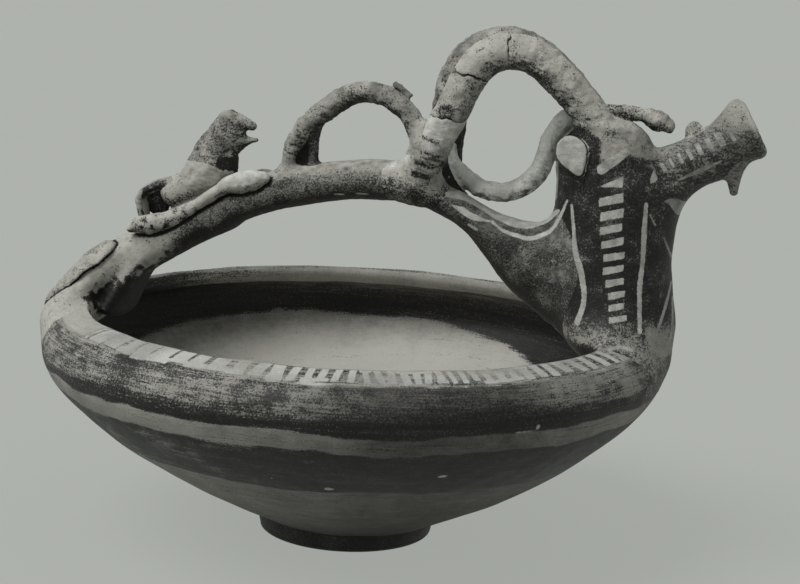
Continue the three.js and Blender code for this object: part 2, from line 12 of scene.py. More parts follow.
import bpy
import numpy as np
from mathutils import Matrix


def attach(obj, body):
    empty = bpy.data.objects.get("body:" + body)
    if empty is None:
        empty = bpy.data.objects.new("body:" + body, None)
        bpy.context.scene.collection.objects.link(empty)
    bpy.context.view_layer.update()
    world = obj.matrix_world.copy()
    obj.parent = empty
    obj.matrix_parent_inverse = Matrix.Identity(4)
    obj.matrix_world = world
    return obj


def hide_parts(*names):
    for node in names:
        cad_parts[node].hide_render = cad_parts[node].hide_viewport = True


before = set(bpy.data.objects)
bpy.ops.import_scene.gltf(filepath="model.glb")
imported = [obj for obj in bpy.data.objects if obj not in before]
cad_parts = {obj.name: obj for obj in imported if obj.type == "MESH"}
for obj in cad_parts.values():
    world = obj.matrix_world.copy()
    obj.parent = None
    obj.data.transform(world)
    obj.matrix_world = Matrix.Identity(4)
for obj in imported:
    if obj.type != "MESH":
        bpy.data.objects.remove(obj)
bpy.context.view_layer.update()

import openvdb
from mathutils import Matrix

METRES = 0.001
print("plain solids:", len(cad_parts))

# %% [markdown]
# ## Lines to roll clay along
# Every coil on the vessel follows a line that the potter bent by hand. A Bezier curve object could
# hold it, but the later steps need places and directions at any share of its length. A Catmull-Rom
# line goes through a few chosen points and stays even where the points are close together, so it is
# used for all of them.

# %% Smooth lines
def unit(vectors):
    return vectors / np.linalg.norm(vectors, axis=-1, keepdims=True)


class SmoothLine:
    """A smooth line through points, read by the share of its length."""

    def __init__(self, points, steps=40):
        p = np.asarray(points, float)
        p = np.vstack([2 * p[:1] - p[1:2], p, 2 * p[-1:] - p[-2:-1]])
        spans = []
        for a, b, c, d in zip(p, p[1:], p[2:], p[3:]):
            t1 = np.linalg.norm(b - a) ** 0.5
            t2 = t1 + np.linalg.norm(c - b) ** 0.5
            t3 = t2 + np.linalg.norm(d - c) ** 0.5
            t = np.linspace(t1, t2, steps, endpoint=False)[:, None]
            ab = a + (b - a) * t / t1
            bc = b + (c - b) * (t - t1) / (t2 - t1)
            cd = c + (d - c) * (t - t2) / (t3 - t2)
            abc = ab + (bc - ab) * t / t2
            bcd = bc + (cd - bc) * (t - t1) / (t3 - t1)
            spans.append(abc + (bcd - abc) * (t - t1) / (t2 - t1))
        self.path = np.vstack([*spans, p[-2:-1]])
        run = np.linalg.norm(np.diff(self.path, axis=0), axis=1)
        self.run = np.concatenate([[0.0], np.cumsum(run)])
        self.length = self.run[-1]

    def at(self, share):
        place = np.asarray(share, float) * self.length
        return np.stack([np.interp(place, self.run, axis) for axis in self.path.T], -1)

    def share_near(self, point):
        return self.run[np.argmin(np.linalg.norm(self.path - point, axis=1))] / self.length

    def frame(self, share):
        """Directions along the line, across it (roughly Y) and above it."""
        share = np.asarray(share, float)
        along = unit(self.at(np.minimum(share + 0.004, 1)) - self.at(np.maximum(share - 0.004, 0)))
        side = unit(np.array((0.0, 1.0, 0.0)) - along * along[..., 1:2])
        return along, side, np.cross(along, side)


def ease(t):
    """A soft step from 0 to 1."""
    t = np.clip(t, 0, 1)
    return t * t * (3 - 2 * t)


bent_line = SmoothLine([(0, 0, 0), (10, 0, 5), (20, 0, 0)])
print("a bent line through three points:", round(bent_line.length, 1), "mm")


# %% [markdown]
# ## A block of clay
# Luted clay has soft joints: the potter smears one lump into the next. Booleans leave hard creases
# there, and a voxel remesh of everything would melt the pieces into one. So the clay lives in a grid
# in which each cell holds its distance from the surface. Two lumps then join with a smooth minimum,
# which is a fillet, and each piece is still cut out as a closed mesh of its own.

# %% The grid and how lumps join
pitch = 0.55
far = 14.0
grid_low = np.array((-154.0, -54.0, 84.0))
grid_high = np.array((192.0, 54.0, 252.0))
cells = np.ceil((grid_high - grid_low) / pitch).astype(int)
clay = np.full(cells, far, np.float32)


def spots(where):
    """X, Y and Z of the cells in a part of the grid, in millimetres."""
    axes = [grid_low[i] + pitch * np.arange(where[i].start, where[i].stop) for i in range(3)]
    return np.meshgrid(*[a.astype(np.float32) for a in axes], indexing="ij", sparse=True)


def block(low, high):
    """The part of the grid between two corners, as slices and as X, Y and Z in millimetres."""
    first = np.clip(np.floor((np.asarray(low) - grid_low) / pitch).astype(int), 0, cells - 2)
    last = np.clip(np.ceil((np.asarray(high) - grid_low) / pitch).astype(int) + 1, first + 2, cells)
    where = tuple(slice(a, b) for a, b in zip(first, last))
    return where, *spots(where)


def smooth_min(a, b, blend):
    near = np.maximum(blend - np.abs(a - b), 0) / blend
    return np.minimum(a, b) - near * near * blend * 0.25


def smooth_max(a, b, blend):
    return -smooth_min(-a, -b, blend)


def oval(*halves):
    """Distance from an oval: pairs of a coordinate and the half size along it."""
    k0 = np.sqrt(sum((c / h) ** 2 for c, h in halves)) + 1e-4
    k1 = np.sqrt(sum((c / (h * h)) ** 2 for c, h in halves)) + 1e-4 / min(np.min(h) for c, h in halves)
    return k0 * (k0 - 1) / k1


print("grid cells:", clay.size, "of", pitch, "mm")

# %% [markdown]
# ## Coils
# Horns, loop, snake, legs, tail and the handle itself are coils rolled between the palms. A curve
# with a bevel could show one, but it has no inside for the fillets. Here a short length of coil is
# stamped into the grid, step by step along its line, and each cell also keeps the share of the line
# where it lies, which the breaks and the painted bars use later.

# %% Roll a coil into the grid
def coil(line, size, step=1.6):
    """Distance of each cell from a coil, and the share of the coil's line where the cell lies."""
    shares = np.linspace(0, 1, max(3, int(line.length / step)))
    centre = line.at(shares)
    along, side, above = line.frame(shares)
    width, thick = np.broadcast_arrays(*[np.asarray(s, float) + 0 * shares for s in size(shares)])
    room = np.maximum(width, thick)[:, None] + 7.0
    where, x, y, z = block((centre - room).min(0), (centre + room).max(0))
    shape = np.broadcast_shapes(x.shape, y.shape, z.shape)
    field = np.full(shape, far, np.float32)
    share_of = np.zeros(shape, np.float32)
    for i in range(len(shares) - 1):
        low = np.minimum(centre[i], centre[i + 1]) - room[i]
        high = np.maximum(centre[i], centre[i + 1]) + room[i]
        cut = []
        for axis, values in enumerate((x, y, z)):
            line_values = values.ravel()
            cut.append(slice(*np.searchsorted(line_values, (low[axis], high[axis]))))
        px, py, pz = x[cut[0]] - centre[i, 0], y[:, cut[1]] - centre[i, 1], z[:, :, cut[2]] - centre[i, 2]
        d = (centre[i + 1] - centre[i]).astype(np.float32)
        u = np.clip((px * d[0] + py * d[1] + pz * d[2]) / (d @ d), 0, 1)
        ex, ey, ez = px - u * d[0], py - u * d[1], pz - u * d[2]
        parts = [
            ex * v[0] + ey * v[1] + ez * v[2]
            for v in (side[i].astype(np.float32), above[i].astype(np.float32), along[i].astype(np.float32))
        ]
        w = np.float32(width[i]) + u * np.float32(width[i + 1] - width[i])
        t = np.float32(thick[i]) + u * np.float32(thick[i + 1] - thick[i])
        d_here = oval((parts[0], w), (parts[1], t), (parts[2], np.minimum(w, t)))
        target = field[tuple(cut)]
        nearer = d_here < target
        target[nearer] = d_here[nearer]
        share_of[tuple(cut)][nearer] = (shares[i] + u * (shares[i + 1] - shares[i]))[nearer]
    return where, field, share_of


def even(radius):
    """The same half width and half thickness all along a coil."""
    return lambda t: (radius + 0 * t, radius + 0 * t)


where, field, share = coil(SmoothLine([(0, 0, 150), (20, 0, 150), (40, 0, 150)]), even(5.0))
print("a test coil holds", round(float((field < 0).sum()) * pitch**3), "cubic millimetres")


# %% [markdown]
# ## From the grid to a mesh
# A finished lump becomes a mesh where the distance is zero. OpenVDB, which comes with Blender, does
# that well, but its quads keep a trace of the grid, so the points are relaxed a little: two steps in,
# two steps out, which keeps the size. Then the hand of the potter and the soil are pressed in along
# the normals by one shared function, so that pieces that touch keep touching.

# %% The marks of the hand
def ripple(points, wave, seed, count=26):
    """Smooth lumps of about one wavelength, from waves in many directions."""
    draw = np.random.default_rng(seed)
    ways = unit(draw.normal(size=(count, 3))) * (2 * math.pi / wave) * draw.uniform(0.7, 1.3, (count, 1))
    phase = draw.uniform(0, 2 * math.pi, count)
    total = np.zeros(len(points))
    for way, start in zip(ways, phase):
        total += np.cos(points @ way + start)
    return total * math.sqrt(2 / count)


def hand_marks(points, crust=0.0):
    """How far the hand, and a crust of soil, push each point out."""
    marks = 0.16 * ripple(points, 40, 1) + 0.05 * ripple(points, 14, 2)
    if crust:
        crumbs = 0.16 * ripple(points, 9, 5) + 0.12 * ripple(points, 4.2, 3) + 0.07 * ripple(points, 2.1, 4)
        marks += crust * crumbs
    return marks


three_places = np.array(((0.0, 0, 0), (20, 0, 0), (40, 0, 0)))
print("hand marks at three places:", hand_marks(three_places).round(2), "mm")


# %% Skins, relaxing and mesh objects
smooth_angle = math.radians(50)


def skin(where, field):
    grid = openvdb.FloatGrid(far)
    grid.copyFromArray(np.ascontiguousarray(field, dtype=np.float32))
    points, quads = grid.convertToQuads(isovalue=0.0)
    corner = grid_low + pitch * np.array([s.start for s in where])
    return corner + pitch * np.asarray(points, float), np.asarray(quads)


def relax(points, faces, rounds=2):
    edges = np.vstack([faces[:, [i, (i + 1) % faces.shape[1]]] for i in range(faces.shape[1])])
    ends = np.concatenate([edges[:, 0], edges[:, 1]])
    others = np.concatenate([edges[:, 1], edges[:, 0]])
    count = np.bincount(ends, minlength=len(points))[:, None]
    for amount in (0.55, -0.57) * rounds:
        mean = np.stack([np.bincount(ends, points[others, a], len(points)) for a in range(3)], -1)
        points = points + amount * (mean / np.maximum(count, 1) - points)
    return points


def mesh_object(name, points, faces):
    mesh = bpy.data.meshes.new(name)
    mesh.from_pydata((points * METRES).tolist(), [], faces if isinstance(faces, list) else faces.tolist())
    mesh.validate()
    mesh.polygons.foreach_set("use_smooth", np.ones(len(mesh.polygons), bool))
    mesh.set_sharp_from_angle(angle=smooth_angle)
    mesh.update()
    thing = bpy.data.objects.new(name, mesh)
    bpy.context.scene.collection.objects.link(thing)
    return thing


print("test coil skin:", len(skin(where, field)[0]), "points")


# %% [markdown]
# ## The bowl's section
# The bowl is thrown or coiled and then smoothed on a turntable, so it is a turned form: a half
# section spun about the upright axis. The section runs from the foot up the belly to the shoulder,
# over the turned-in lip, and back down the inside.

# %% Draw the half section
foot_radius, foot_top_radius, foot_height = 42.5, 43.5, 12.0
bowl_radius, shoulder_height = 150.0, 91.0
lip_radius, lip_height, lip_thickness = 129.0, 109.0, 9.0
bowl_wall, bowl_floor = 7.5, 9.0


def bend(a, b, c, steps):
    t = np.linspace(0, 1, steps + 1)[:, None]
    return (1 - t) ** 2 * np.array(a) + 2 * t * (1 - t) * np.array(b) + t * t * np.array(c)


belly_steps, rim_steps, lip_steps, under_steps, inside_steps, floor_steps = 110, 36, 14, 16, 70, 16
seat_index = 2
widest_index = seat_index + belly_steps
lip_index = widest_index + rim_steps
under_index = lip_index + lip_steps
hollow_index = under_index + under_steps
belly_height = foot_height + 0.64 * (shoulder_height - foot_height)
inner_radius = bowl_radius - bowl_wall
seat = (foot_top_radius - 0.4, foot_height - 0.2)
widest = (bowl_radius, shoulder_height)
lip = (lip_radius, lip_height)
under_lip = (lip_radius + 2, lip_height - lip_thickness)
hollow = (inner_radius, shoulder_height - bowl_wall)
floor_edge = (foot_top_radius * 0.7, foot_height + bowl_floor)
floor_middle = (0.0, foot_height + bowl_floor - 1.5)
section = np.vstack([
    [(0.0, foot_height - 1.0), (foot_top_radius - 2.5, foot_height - 1.0)],
    bend(seat, (bowl_radius, belly_height), widest, belly_steps),
    bend(widest, (bowl_radius - 1, lip_height - 3), lip, rim_steps)[1:],
    bend(lip, (lip_radius - 4, lip_height - lip_thickness / 2), under_lip, lip_steps)[1:],
    bend(under_lip, (inner_radius, lip_height - lip_thickness - 1), hollow, under_steps)[1:],
    bend(hollow, (inner_radius, belly_height + 1), floor_edge, inside_steps)[1:],
    bend(floor_edge, (foot_top_radius * 0.4, floor_middle[1]), floor_middle, floor_steps)[1:],
])
section_run = np.concatenate([[0], np.cumsum(np.linalg.norm(np.diff(section, axis=0), axis=1))])
print("section of", len(section), "points,", round(section_run[-1]), "mm long")

# %% [markdown]
# ## The rim in the grid
# Handle, neck and tail are luted onto the rim, so the grid has to know where the bowl's clay is. The
# distance from the section is worked out once for each level of the grid and spun round by the radius.
# A mesh could be turned into such distances too, but the section is exact.

# %% Distance from the section
def section_distance(radius, height):
    """Distance of a point of the half plane from the bowl's section, negative in the clay."""
    p = np.stack([radius, height], -1)
    closest = np.full(p.shape[:-1], 1e9)
    inside = np.zeros(p.shape[:-1], bool)
    for a, b in zip(section, section[1:]):
        d = b - a
        t = np.clip(((p - a) @ d) / (d @ d), 0, 1)
        closest = np.minimum(closest, np.linalg.norm(p - a - t[..., None] * d, axis=-1))
        if a[1] != b[1]:
            crosses = (a[1] > height) != (b[1] > height)
            inside ^= crosses & (radius < a[0] + (height - a[1]) * d[0] / d[1])
    return np.where(inside, -closest, closest)


radii = np.arange(60.0, 206.0, 0.5)
where, x, y, z = block(grid_low, (grid_high[0], grid_high[1], lip_height + far))
plan_radius = np.sqrt(x * x + y * y)[:, :, 0]
for level, height in enumerate(z.ravel()):
    row = section_distance(radii, np.full(len(radii), float(height)))
    clay[:, :, level] = np.minimum(np.interp(plan_radius, radii, row), far)
print("rim clay cells:", int((clay < 0).sum()))

# %% [markdown]
# ## Turn the bowl and the foot
# A Screw modifier could spin the section, but it would leave no say over single rings. Rings of
# points are joined by hand instead: 960 around, close enough for the painted ticks. Bowl and foot
# stay two pieces, as the potter made them.

# %% Spin a section
def turned(outline, around):
    """Points and faces of a closed outline spun about the upright axis."""
    turn = np.linspace(0, 2 * math.pi, around, endpoint=False)
    inner = outline[1:-1]
    ring = np.stack([np.cos(turn), np.sin(turn)], -1)
    points = np.concatenate([
        np.broadcast_to(inner[:, None, :1], (len(inner), around, 1)) * ring[None],
        np.broadcast_to(inner[:, None, 1:], (len(inner), around, 1)),
    ], -1).reshape(-1, 3)
    here = np.arange(around)
    nxt = (here + 1) % around
    quads = []
    for i in range(len(inner) - 1):
        a = i * around
        quads.append(np.stack([a + here, a + nxt, a + around + nxt, a + around + here], -1))
    quads = np.vstack(quads)
    bottom, top = len(points), len(points) + 1
    points = np.vstack([points, [(0, 0, outline[0, 1])], [(0, 0, outline[-1, 1])]])
    last = (len(inner) - 1) * around
    fans = [(bottom, int(nxt[i]), i) for i in range(around)]
    fans += [(top, last + i, last + int(nxt[i])) for i in range(around)]
    return points, quads.tolist() + fans


around = 960
print("bowl points:", len(section) * around)

# %% [markdown]
# ## The neck, on level ovals
# The hollow neck rises from the rim and is wider at its base, where it follows the round rim in plan.
# A loft of rings would do for the outside. As distances, the same ovals also give the channel that
# the liquid runs through, one wall thinner, and the fillet onto the rim.

# %% Ovals one above another
def oval_stack(levels, x, y, z, soften=3.5):
    """Distance from stacked ovals: height, middle x, half length, half width and wrap at each level."""
    rows = np.array(levels, float)
    fine = np.arange(rows[0, 0] - 20, rows[-1, 0] + 20, 0.5)
    steps = np.arange(-16, 17)
    kernel = np.exp(-0.5 * (steps * 0.5 / soften) ** 2)
    heights = z.ravel()
    columns = []
    for column in rows.T[1:]:
        values = np.pad(np.interp(fine, rows[:, 0], column), len(steps) // 2, mode="edge")
        smoothed = np.convolve(values, kernel / kernel.sum(), "valid")
        columns.append(np.interp(heights, fine, smoothed))
    slope = np.gradient(0.5 * (columns[1] + columns[2]), heights)
    middle, long, wide, wrap = [c.astype(np.float32).reshape(1, 1, -1) for c in columns]
    bent = lip_radius - np.sqrt(np.maximum(lip_radius**2 - y * y, 0))
    flat = oval((x + wrap * bent - middle, long), (y, wide))
    return flat / np.sqrt(1 + slope.astype(np.float32) ** 2).reshape(1, 1, -1)


neck_x, neck_height, neck_skirt = lip_radius - 7, 69.0, 10.0
neck_long, neck_wide, neck_root_wide, neck_wall = 29.0, 26.0, 39.0, 7.0
neck_top = lip_height + neck_height
neck_spread = neck_root_wide - neck_wide
neck_levels = [
    (lip_height + rise, neck_x + out * neck_long, neck_long * long, neck_wide + neck_spread * wide, wrap)
    for rise, out, long, wide, wrap in (
        (-neck_skirt * 2.2, 0.47, 0.1, 0.75, 1),
        (-neck_skirt * 1.6, 0.62, 0.24, 0.95, 1),
        (-neck_skirt, 0.21, 0.8, 1, 1),
        (neck_height * 0.06, 0.14, 0.98, 0.72, 0.8),
        (neck_height * 0.23, 0.05, 1, 0.34, 0.5),
        (neck_height * 0.5, -0.02, 0.98, 0.08, 0.2),
        (neck_height * 0.8, 0, 1, 0, 0),
        (neck_height, 0, 1, -0.04, 0),
        (neck_height + 5, -0.02, 0.93, -0.15, 0),
        (neck_height + 11, -0.05, 0.78, -0.45, 0),
    )
]
print("the neck rises from", neck_levels[0][0], "to", neck_levels[-1][0], "mm")

# %% [markdown]
# ## The head and the snout
# The head is a low dome on the neck, again a stack of ovals. The snout is a tube that rises at a slant
# and flares at its mouth. Its upper and lower outlines differ, so a cone would not do: two smooth lines
# give its top and bottom at any place along it.

# %% Levels of the head, lines of the snout
head_height = 31.5
head_levels = [
    (neck_top + rise * head_height, neck_x + out * neck_long, neck_long * long, neck_wide * wide, 0)
    for rise, out, long, wide in (
        (-0.2, 0, 0.92, 0.9),
        (0, 0, 0.985, 0.965),
        (0.23, -0.09, 0.94, 0.95),
        (0.48, -0.19, 0.82, 0.88),
        (0.7, -0.22, 0.71, 0.77),
        (0.88, -0.17, 0.53, 0.58),
        (0.97, -0.12, 0.32, 0.35),
        (1, -0.1, 0.12, 0.13),
    )
]
snout_length, snout_radius, snout_bore, mouth_radius = 67.0, 10.4, 6.0, 14.5
snout_tilt = math.radians(25)
snout_along = np.array((math.cos(snout_tilt), 0.0, math.sin(snout_tilt)))
snout_up = np.array((-math.sin(snout_tilt), 0.0, math.cos(snout_tilt)))
snout_start = np.array((neck_x + 2.1, 0.0, neck_top - 0.5))


def snout_place(share, lift=0.0):
    return snout_start + snout_along * share * snout_length + snout_up * lift


def snout_coordinates(x, z):
    dx, dz = x - snout_start[0], z - snout_start[2]
    return dx * snout_along[0] + dz * snout_along[2], dx * snout_up[0] + dz * snout_up[2]


snout_top = SmoothLine([
    (0, 12.4), (20, 11.3), (38, 10.8), (45, 11.8), (52, 14.6), (57, 17.6), (61, 19.7), (64.5, 19.8),
    (70, 17.0),
]).path
snout_bottom = SmoothLine([
    (0, -17), (20, -15.2), (32, -13.4), (38, -12.7), (44, -13.0), (50, -12.3), (56, -10.9), (61, -10.2),
    (70, -10.6),
]).path
print("snout mouth at", snout_place(1.0).round(1), "mm")


def snout_field(x, y, z):
    along, up = snout_coordinates(x, z)
    top, bottom = np.interp(along, *snout_top.T), np.interp(along, *snout_bottom.T)
    share = np.clip(along / snout_length, 0, 1.1)
    flare = np.maximum(0, (share - 0.72) / 0.28) ** 1.6
    reach = snout_radius + (mouth_radius - snout_radius) * flare + 3.0 * np.maximum(0, 1 - share / 0.45)
    tube = oval((y, reach), (up - (top + bottom) / 2, (top - bottom) / 2))
    return smooth_max(smooth_max(tube, along + 0.06 * up - snout_length - 1.0, 4.0), -along, 1.0)


# %% [markdown]
# ## The channel
# The vessel pours, so neck, head and snout are hollow and open into each other and into the bowl. The
# channel is one more stack of ovals with a bore that widens at the mouth. It is kept apart here and
# taken out of the lumps after they are joined.

# %% The bore and the channel
def bore_field(x, y, z):
    along, up = snout_coordinates(x, z)
    share = np.clip(along / snout_length, 0, 1.1)
    lift = 4.0 * np.maximum(0, (share - 0.75) / 0.25) ** 1.5
    flare = np.maximum(0, (share - 0.8) / 0.2) ** 1.4
    radius = snout_bore + (mouth_radius - snout_bore - 3.5) * flare
    return np.maximum(np.sqrt(y * y + (up - lift) ** 2) - radius, -along - 2)


neck_in_long, neck_in_wide = neck_long - neck_wall, neck_wide - neck_wall
channel_levels = [
    (lip_height + rise, neck_x + out * neck_in_long, neck_in_long * long, neck_in_wide * wide, 0)
    for rise, out, long, wide in (
        (-neck_skirt * 1.8, 0.18, 0.41, 0.74),
        (-neck_skirt * 0.8, 0.32, 0.5, 1),
        (neck_height * 0.06, 0.36, 0.8, 1.21),
        (neck_height * 0.23, 0.11, 0.95, 1.16),
        (neck_height * 0.5, -0.02, 0.98, 1.05),
        (neck_height, 0, 0.91, 0.95),
        (neck_height + head_height * 0.25, -0.11, 0.82, 0.9),
        (neck_height + head_height * 0.5, -0.23, 0.64, 0.74),
        (neck_height + head_height * 0.68, -0.27, 0.32, 0.42),
    )
]


def channel_field(x, y, z):
    tube = oval_stack(channel_levels, x, y, z, 2.5)
    tube = np.maximum(np.maximum(tube, z - channel_levels[-1][0]), channel_levels[0][0] - z)
    return smooth_min(tube, bore_field(x, y, z), 3.0)


print("the channel starts", round(lip_height - channel_levels[0][0]), "mm below the lip")

# %% [markdown]
# ## Luting
# Each lump is pressed onto the clay that is already there. What the joint adds belongs to the new
# lump, and it reaches a little into the old clay, so that no gap shows. The blend says how far the
# potter smeared the joint: wide at the neck, tight under the dog's tail.

# %% Press a lump onto the clay
lumps = {}
shares = {}
overlap = 1.3
feather = 0.05


def lute(name, where, field, blend, share=None):
    """Join a lump to the clay and keep what it adds as a piece of its own."""
    before = clay[where].copy()
    joined = smooth_min(field, before, blend).astype(np.float32)
    own = np.maximum(joined, joined - before + feather)
    lumps[name] = (where, np.maximum(own, -(before + overlap)))
    shares[name] = (where, share, field)
    clay[where] = joined


def carve_channel(name):
    where, own = lumps[name]
    lumps[name] = (where, np.maximum(own, -channel_field(*spots(where))))


where, x, y, z = block((84, -50, grid_low[2]), (172, 50, neck_top + 16))
neck = oval_stack(neck_levels, x, y, z)
neck = np.maximum(np.maximum(neck, z - neck_levels[-1][0]), neck_levels[0][0] - z)
lute("spout_neck", where, neck, 13.0)
print("neck cells:", int((lumps["spout_neck"][1] < 0).sum()))

# %% [markdown]
# ## The basket handle
# One thick strap of clay arches over the mouth. Its left end spreads along the rim, its crown is
# slim, and its right end deepens into a web against the neck. It is the longest coil of all, with a
# half width and a half thickness that change along it.

# %% The handle and places on it
handle_rise, handle_thick, handle_wide, handle_root_wide = 64.5, 9.5, 13.0, 47.0
handle_line = SmoothLine([
    (out * lip_radius, 0, lip_height + rise * handle_rise)
    for out, rise in (
        (-1.075, -0.1), (-0.955, 0.2), (-0.8, 0.42), (-0.62, 0.62), (-0.35, 0.86), (0, 1),
        (0.2, 0.985), (0.375, 0.83), (0.53, 0.625), (0.67, 0.475), (0.8, 0.42),
    )
])


def handle_size(t):
    crown, slim = 0.62, 0.78
    root = np.maximum(0, 1 - t / 0.17)
    deep = np.maximum(0, (t - slim) / (1 - slim))
    waist = np.maximum(0, 1 - np.abs(t - slim) / (slim - crown))
    wide = handle_wide * (1 + 0.4 * deep) + (handle_root_wide - handle_wide) * root**1.6
    return wide, handle_thick * (1 + 0.18 * root - 0.22 * ease(waist) + 2 * deep**2)


def on_handle(t, angle, lift=0.0):
    """A place on the handle: 90 degrees is straight up, 180 degrees is the viewer's side."""
    along, side, above = handle_line.frame(t)
    wide, thick = handle_size(np.asarray(t, float))
    turn = math.radians(angle)
    return handle_line.at(t) + side * (wide + lift) * math.cos(turn) + above * (thick + lift) * math.sin(turn)


where, handle, share = coil(handle_line, handle_size, step=2.4)
heel_line = SmoothLine([
    (x, 0, z) for x, z in ((-118, 106), (-112.5, 117), (-105.5, 128), (-92, 137), (-80, 144), (-66, 151.5))
])
heel_where, heel, _ = coil(
    heel_line, lambda t: (np.interp(t, (0, 0.2, 0.45, 1), (26, 19, 13, 12)), 7.2 - 0.4 * t), step=2.4)
inner = tuple(slice(h.start - w.start, h.stop - w.start) for h, w in zip(heel_where, where))
handle[inner] = smooth_min(handle[inner], heel, 5.0)
lute("basket_handle", where, handle, 8.0, share)
print("handle:", round(handle_line.length), "mm long")

# %% [markdown]
# ## Lute the head and the snout
# The head sits on the neck with a tight joint, as the two are smoothed into one skin. Under the snout
# the clay is drawn out into a throat, so the blend there grows towards the head. Then the channel is
# cut through all three.

# %% Press on the head and the snout
where, x, y, z = block((80, -36, neck_top - 14), (160, 36, neck_top + head_height + 10))
head = oval_stack(head_levels, x, y, z, 2.0)
head = smooth_max(np.maximum(head, z - neck_top - head_height), neck_top - 6 - z, 1.0)
lute("goat_head", where, head, 2.0)
where, x, y, z = block((112, -30, neck_top - 34), grid_high)
snout = snout_field(x, y, z)
along, up = snout_coordinates(x, z)
throat = 3.5 + 9.0 * ease((4.0 - up) / 14.0) * ease((52.0 - along) / 16.0)
lute("snout_spout", where, snout + 0 * y, throat.astype(np.float32))
for name in ("spout_neck", "goat_head", "snout_spout"):
    carve_channel(name)
    print(name, "cells after carving:", int((lumps[name][1] < 0).sum()))

# %% [markdown]
# ## Beard, stub and ears
# Under the snout hangs a small pointed beard, and on top of it stands the stub of something broken
# off. The ears are leaves of clay beside the head. Beard and stub are short coils. A leaf is an oval
# cut from a thin slab, so its distance is the larger one of an oval's and a slab's.

# %% Short coils and leaves
beard_top = snout_place(0.8, -snout_radius * 0.6)
beard_line = SmoothLine([beard_top, beard_top + (0.3, 0, -8), beard_top + (0.6, 0, -15.2)])
where, field, share = coil(beard_line, lambda t: (5.2 * (1 - 0.62 * t), 5.2 * (1 - 0.62 * t)))
lute("beard", where, field, 4.0, share)
stub_foot = snout_place(0.61, snout_radius * 0.7) + (0, 3.6, 0)
stub_line = SmoothLine([stub_foot + snout_up * rise for rise in (0, 2.6, 5.6)])
where, field, share = coil(stub_line, even(4.0))
lute("broken_stub", where, field, 4.0, share)
print("beard ends at", beard_line.at(1.0).round(1), "mm")


def ear_field(side, x, y, z):
    root = np.array((neck_x - neck_long * 0.61, side * neck_wide * 0.87, neck_top + head_height * 0.22))
    swing, lean = math.radians(114), math.radians(90 + 6 * side)
    axes = []
    for lx, ly, lz in (
        (math.cos(swing), math.sin(swing), 0), (-math.sin(swing), math.cos(swing), 0), (0, 0, 1),
    ):
        axes.append((
            lx,
            ly * math.cos(lean) - lz * math.sin(lean),
            ly * math.sin(lean) + lz * math.cos(lean),
        ))
    p = (x - root[0], y - root[1], z - root[2])
    long, wide, thick = [sum(c * v for c, v in zip(p, axis)) for axis in axes]
    leaf = oval((long - 9.0, 10.2), (wide, 7.4 * (0.55 + 0.45 * ease((long + 1) / 13))))
    cupped = thick + side * 0.016 * wide**2
    return smooth_max(leaf, np.abs(cupped) - 2.1, 1.6)


# %% [markdown]
# ## Horns
# Two long horns sweep from the handle over a high crown to the head. The viewer's horn has been
# broken and mended: three breaks part it into four sherds. A break is a slightly crooked cut across
# the coil, so each sherd takes its share of the line, with the share shaken a little by a ripple.

# %% The course and thickness of a horn
horn_radius, horn_spread = 8.4, 13.0


def horn_line(seat, angle, side, course):
    root = (neck_x - 4, side * (horn_spread - 1), neck_top + head_height * 0.62)
    return SmoothLine([on_handle(seat, angle, -2.0), *[(x, side * horn_spread, z) for x, z in course], root])


def horn_size(t):
    thick = horn_radius * (1 + 0.12 * np.maximum(0, 1 - t / 0.2))
    return thick, thick


print("a horn is", 2 * horn_radius, "mm thick")

# %% Roll the horns and break the near one
near_horn_line = horn_line(0.685, 140, -1, (
    (33.6, 190.9), (37.8, 199.7), (42.4, 208.0), (46.2, 217.4), (50.8, 227.0), (56.0, 233.6), (62.3, 237.6),
    (69.0, 239.0), (79.5, 237.2), (88.6, 230.8), (101.0, 219.0),
))
far_horn_line = horn_line(0.727, 50, 1, (
    (37.6, 184), (38.2, 196), (38.9, 206), (40.1, 216), (43.6, 228.3), (48.5, 234.9), (56.3, 239.4),
    (65.0, 241.0), (76.0, 239.0), (86.0, 232.5), (98.0, 220.0),
))
where, horn, share = coil(near_horn_line, horn_size)
lute("near_horn", where, horn, 9.0, share)
sherds = ("near_horn_tip", "near_horn_lower", "near_horn_crown", "near_horn_root")
break_places = ((41.6, 206.2, -0.4), (50.8, 227.0, -0.33), (68.0, 239.0, 0.0))
breaks = [
    near_horn_line.length * near_horn_line.share_near((x, -horn_spread, z)) for x, z, lean in break_places
]
where, whole = lumps.pop("near_horn")
cells_xyz = np.stack(np.broadcast_arrays(*spots(where)), -1).reshape(-1, 3).astype(float)
crooked = 0.4 * ripple(cells_xyz, 9, 21) + 0.22 * ripple(cells_xyz, 3.5, 22)
offset = cells_xyz - near_horn_line.at(share.ravel())
lift = np.sum(offset * near_horn_line.frame(share.ravel())[2], -1)
run = share * near_horn_line.length + crooked.reshape(share.shape)
past = [run - at - lean * lift.reshape(share.shape) for at, (x, z, lean) in zip(breaks, break_places)]
cracks = (0.02, 0.22, 0.22)
for i, name in enumerate(sherds):
    sherd = whole
    if i > 0:
        sherd = smooth_max(sherd, cracks[i - 1] - past[i - 1], cracks[i - 1] * 3)
    if i < len(past):
        sherd = smooth_max(sherd, past[i] + cracks[i], cracks[i] * 3)
    lumps[name] = (where, sherd)
    shares[name] = (where, share, horn)
where, field, share = coil(far_horn_line, horn_size)
lute("far_horn", where, field, 4.0, share)
for side, name in ((-1, "near_ear"), (1, "far_ear")):
    where, x, y, z = block((82, min(side * 14, side * 40), 180), (124, max(side * 14, side * 40), 214))
    lute(name, where, ear_field(side, x, y, z), 2.0)
print("horn length:", round(near_horn_line.length), "mm")

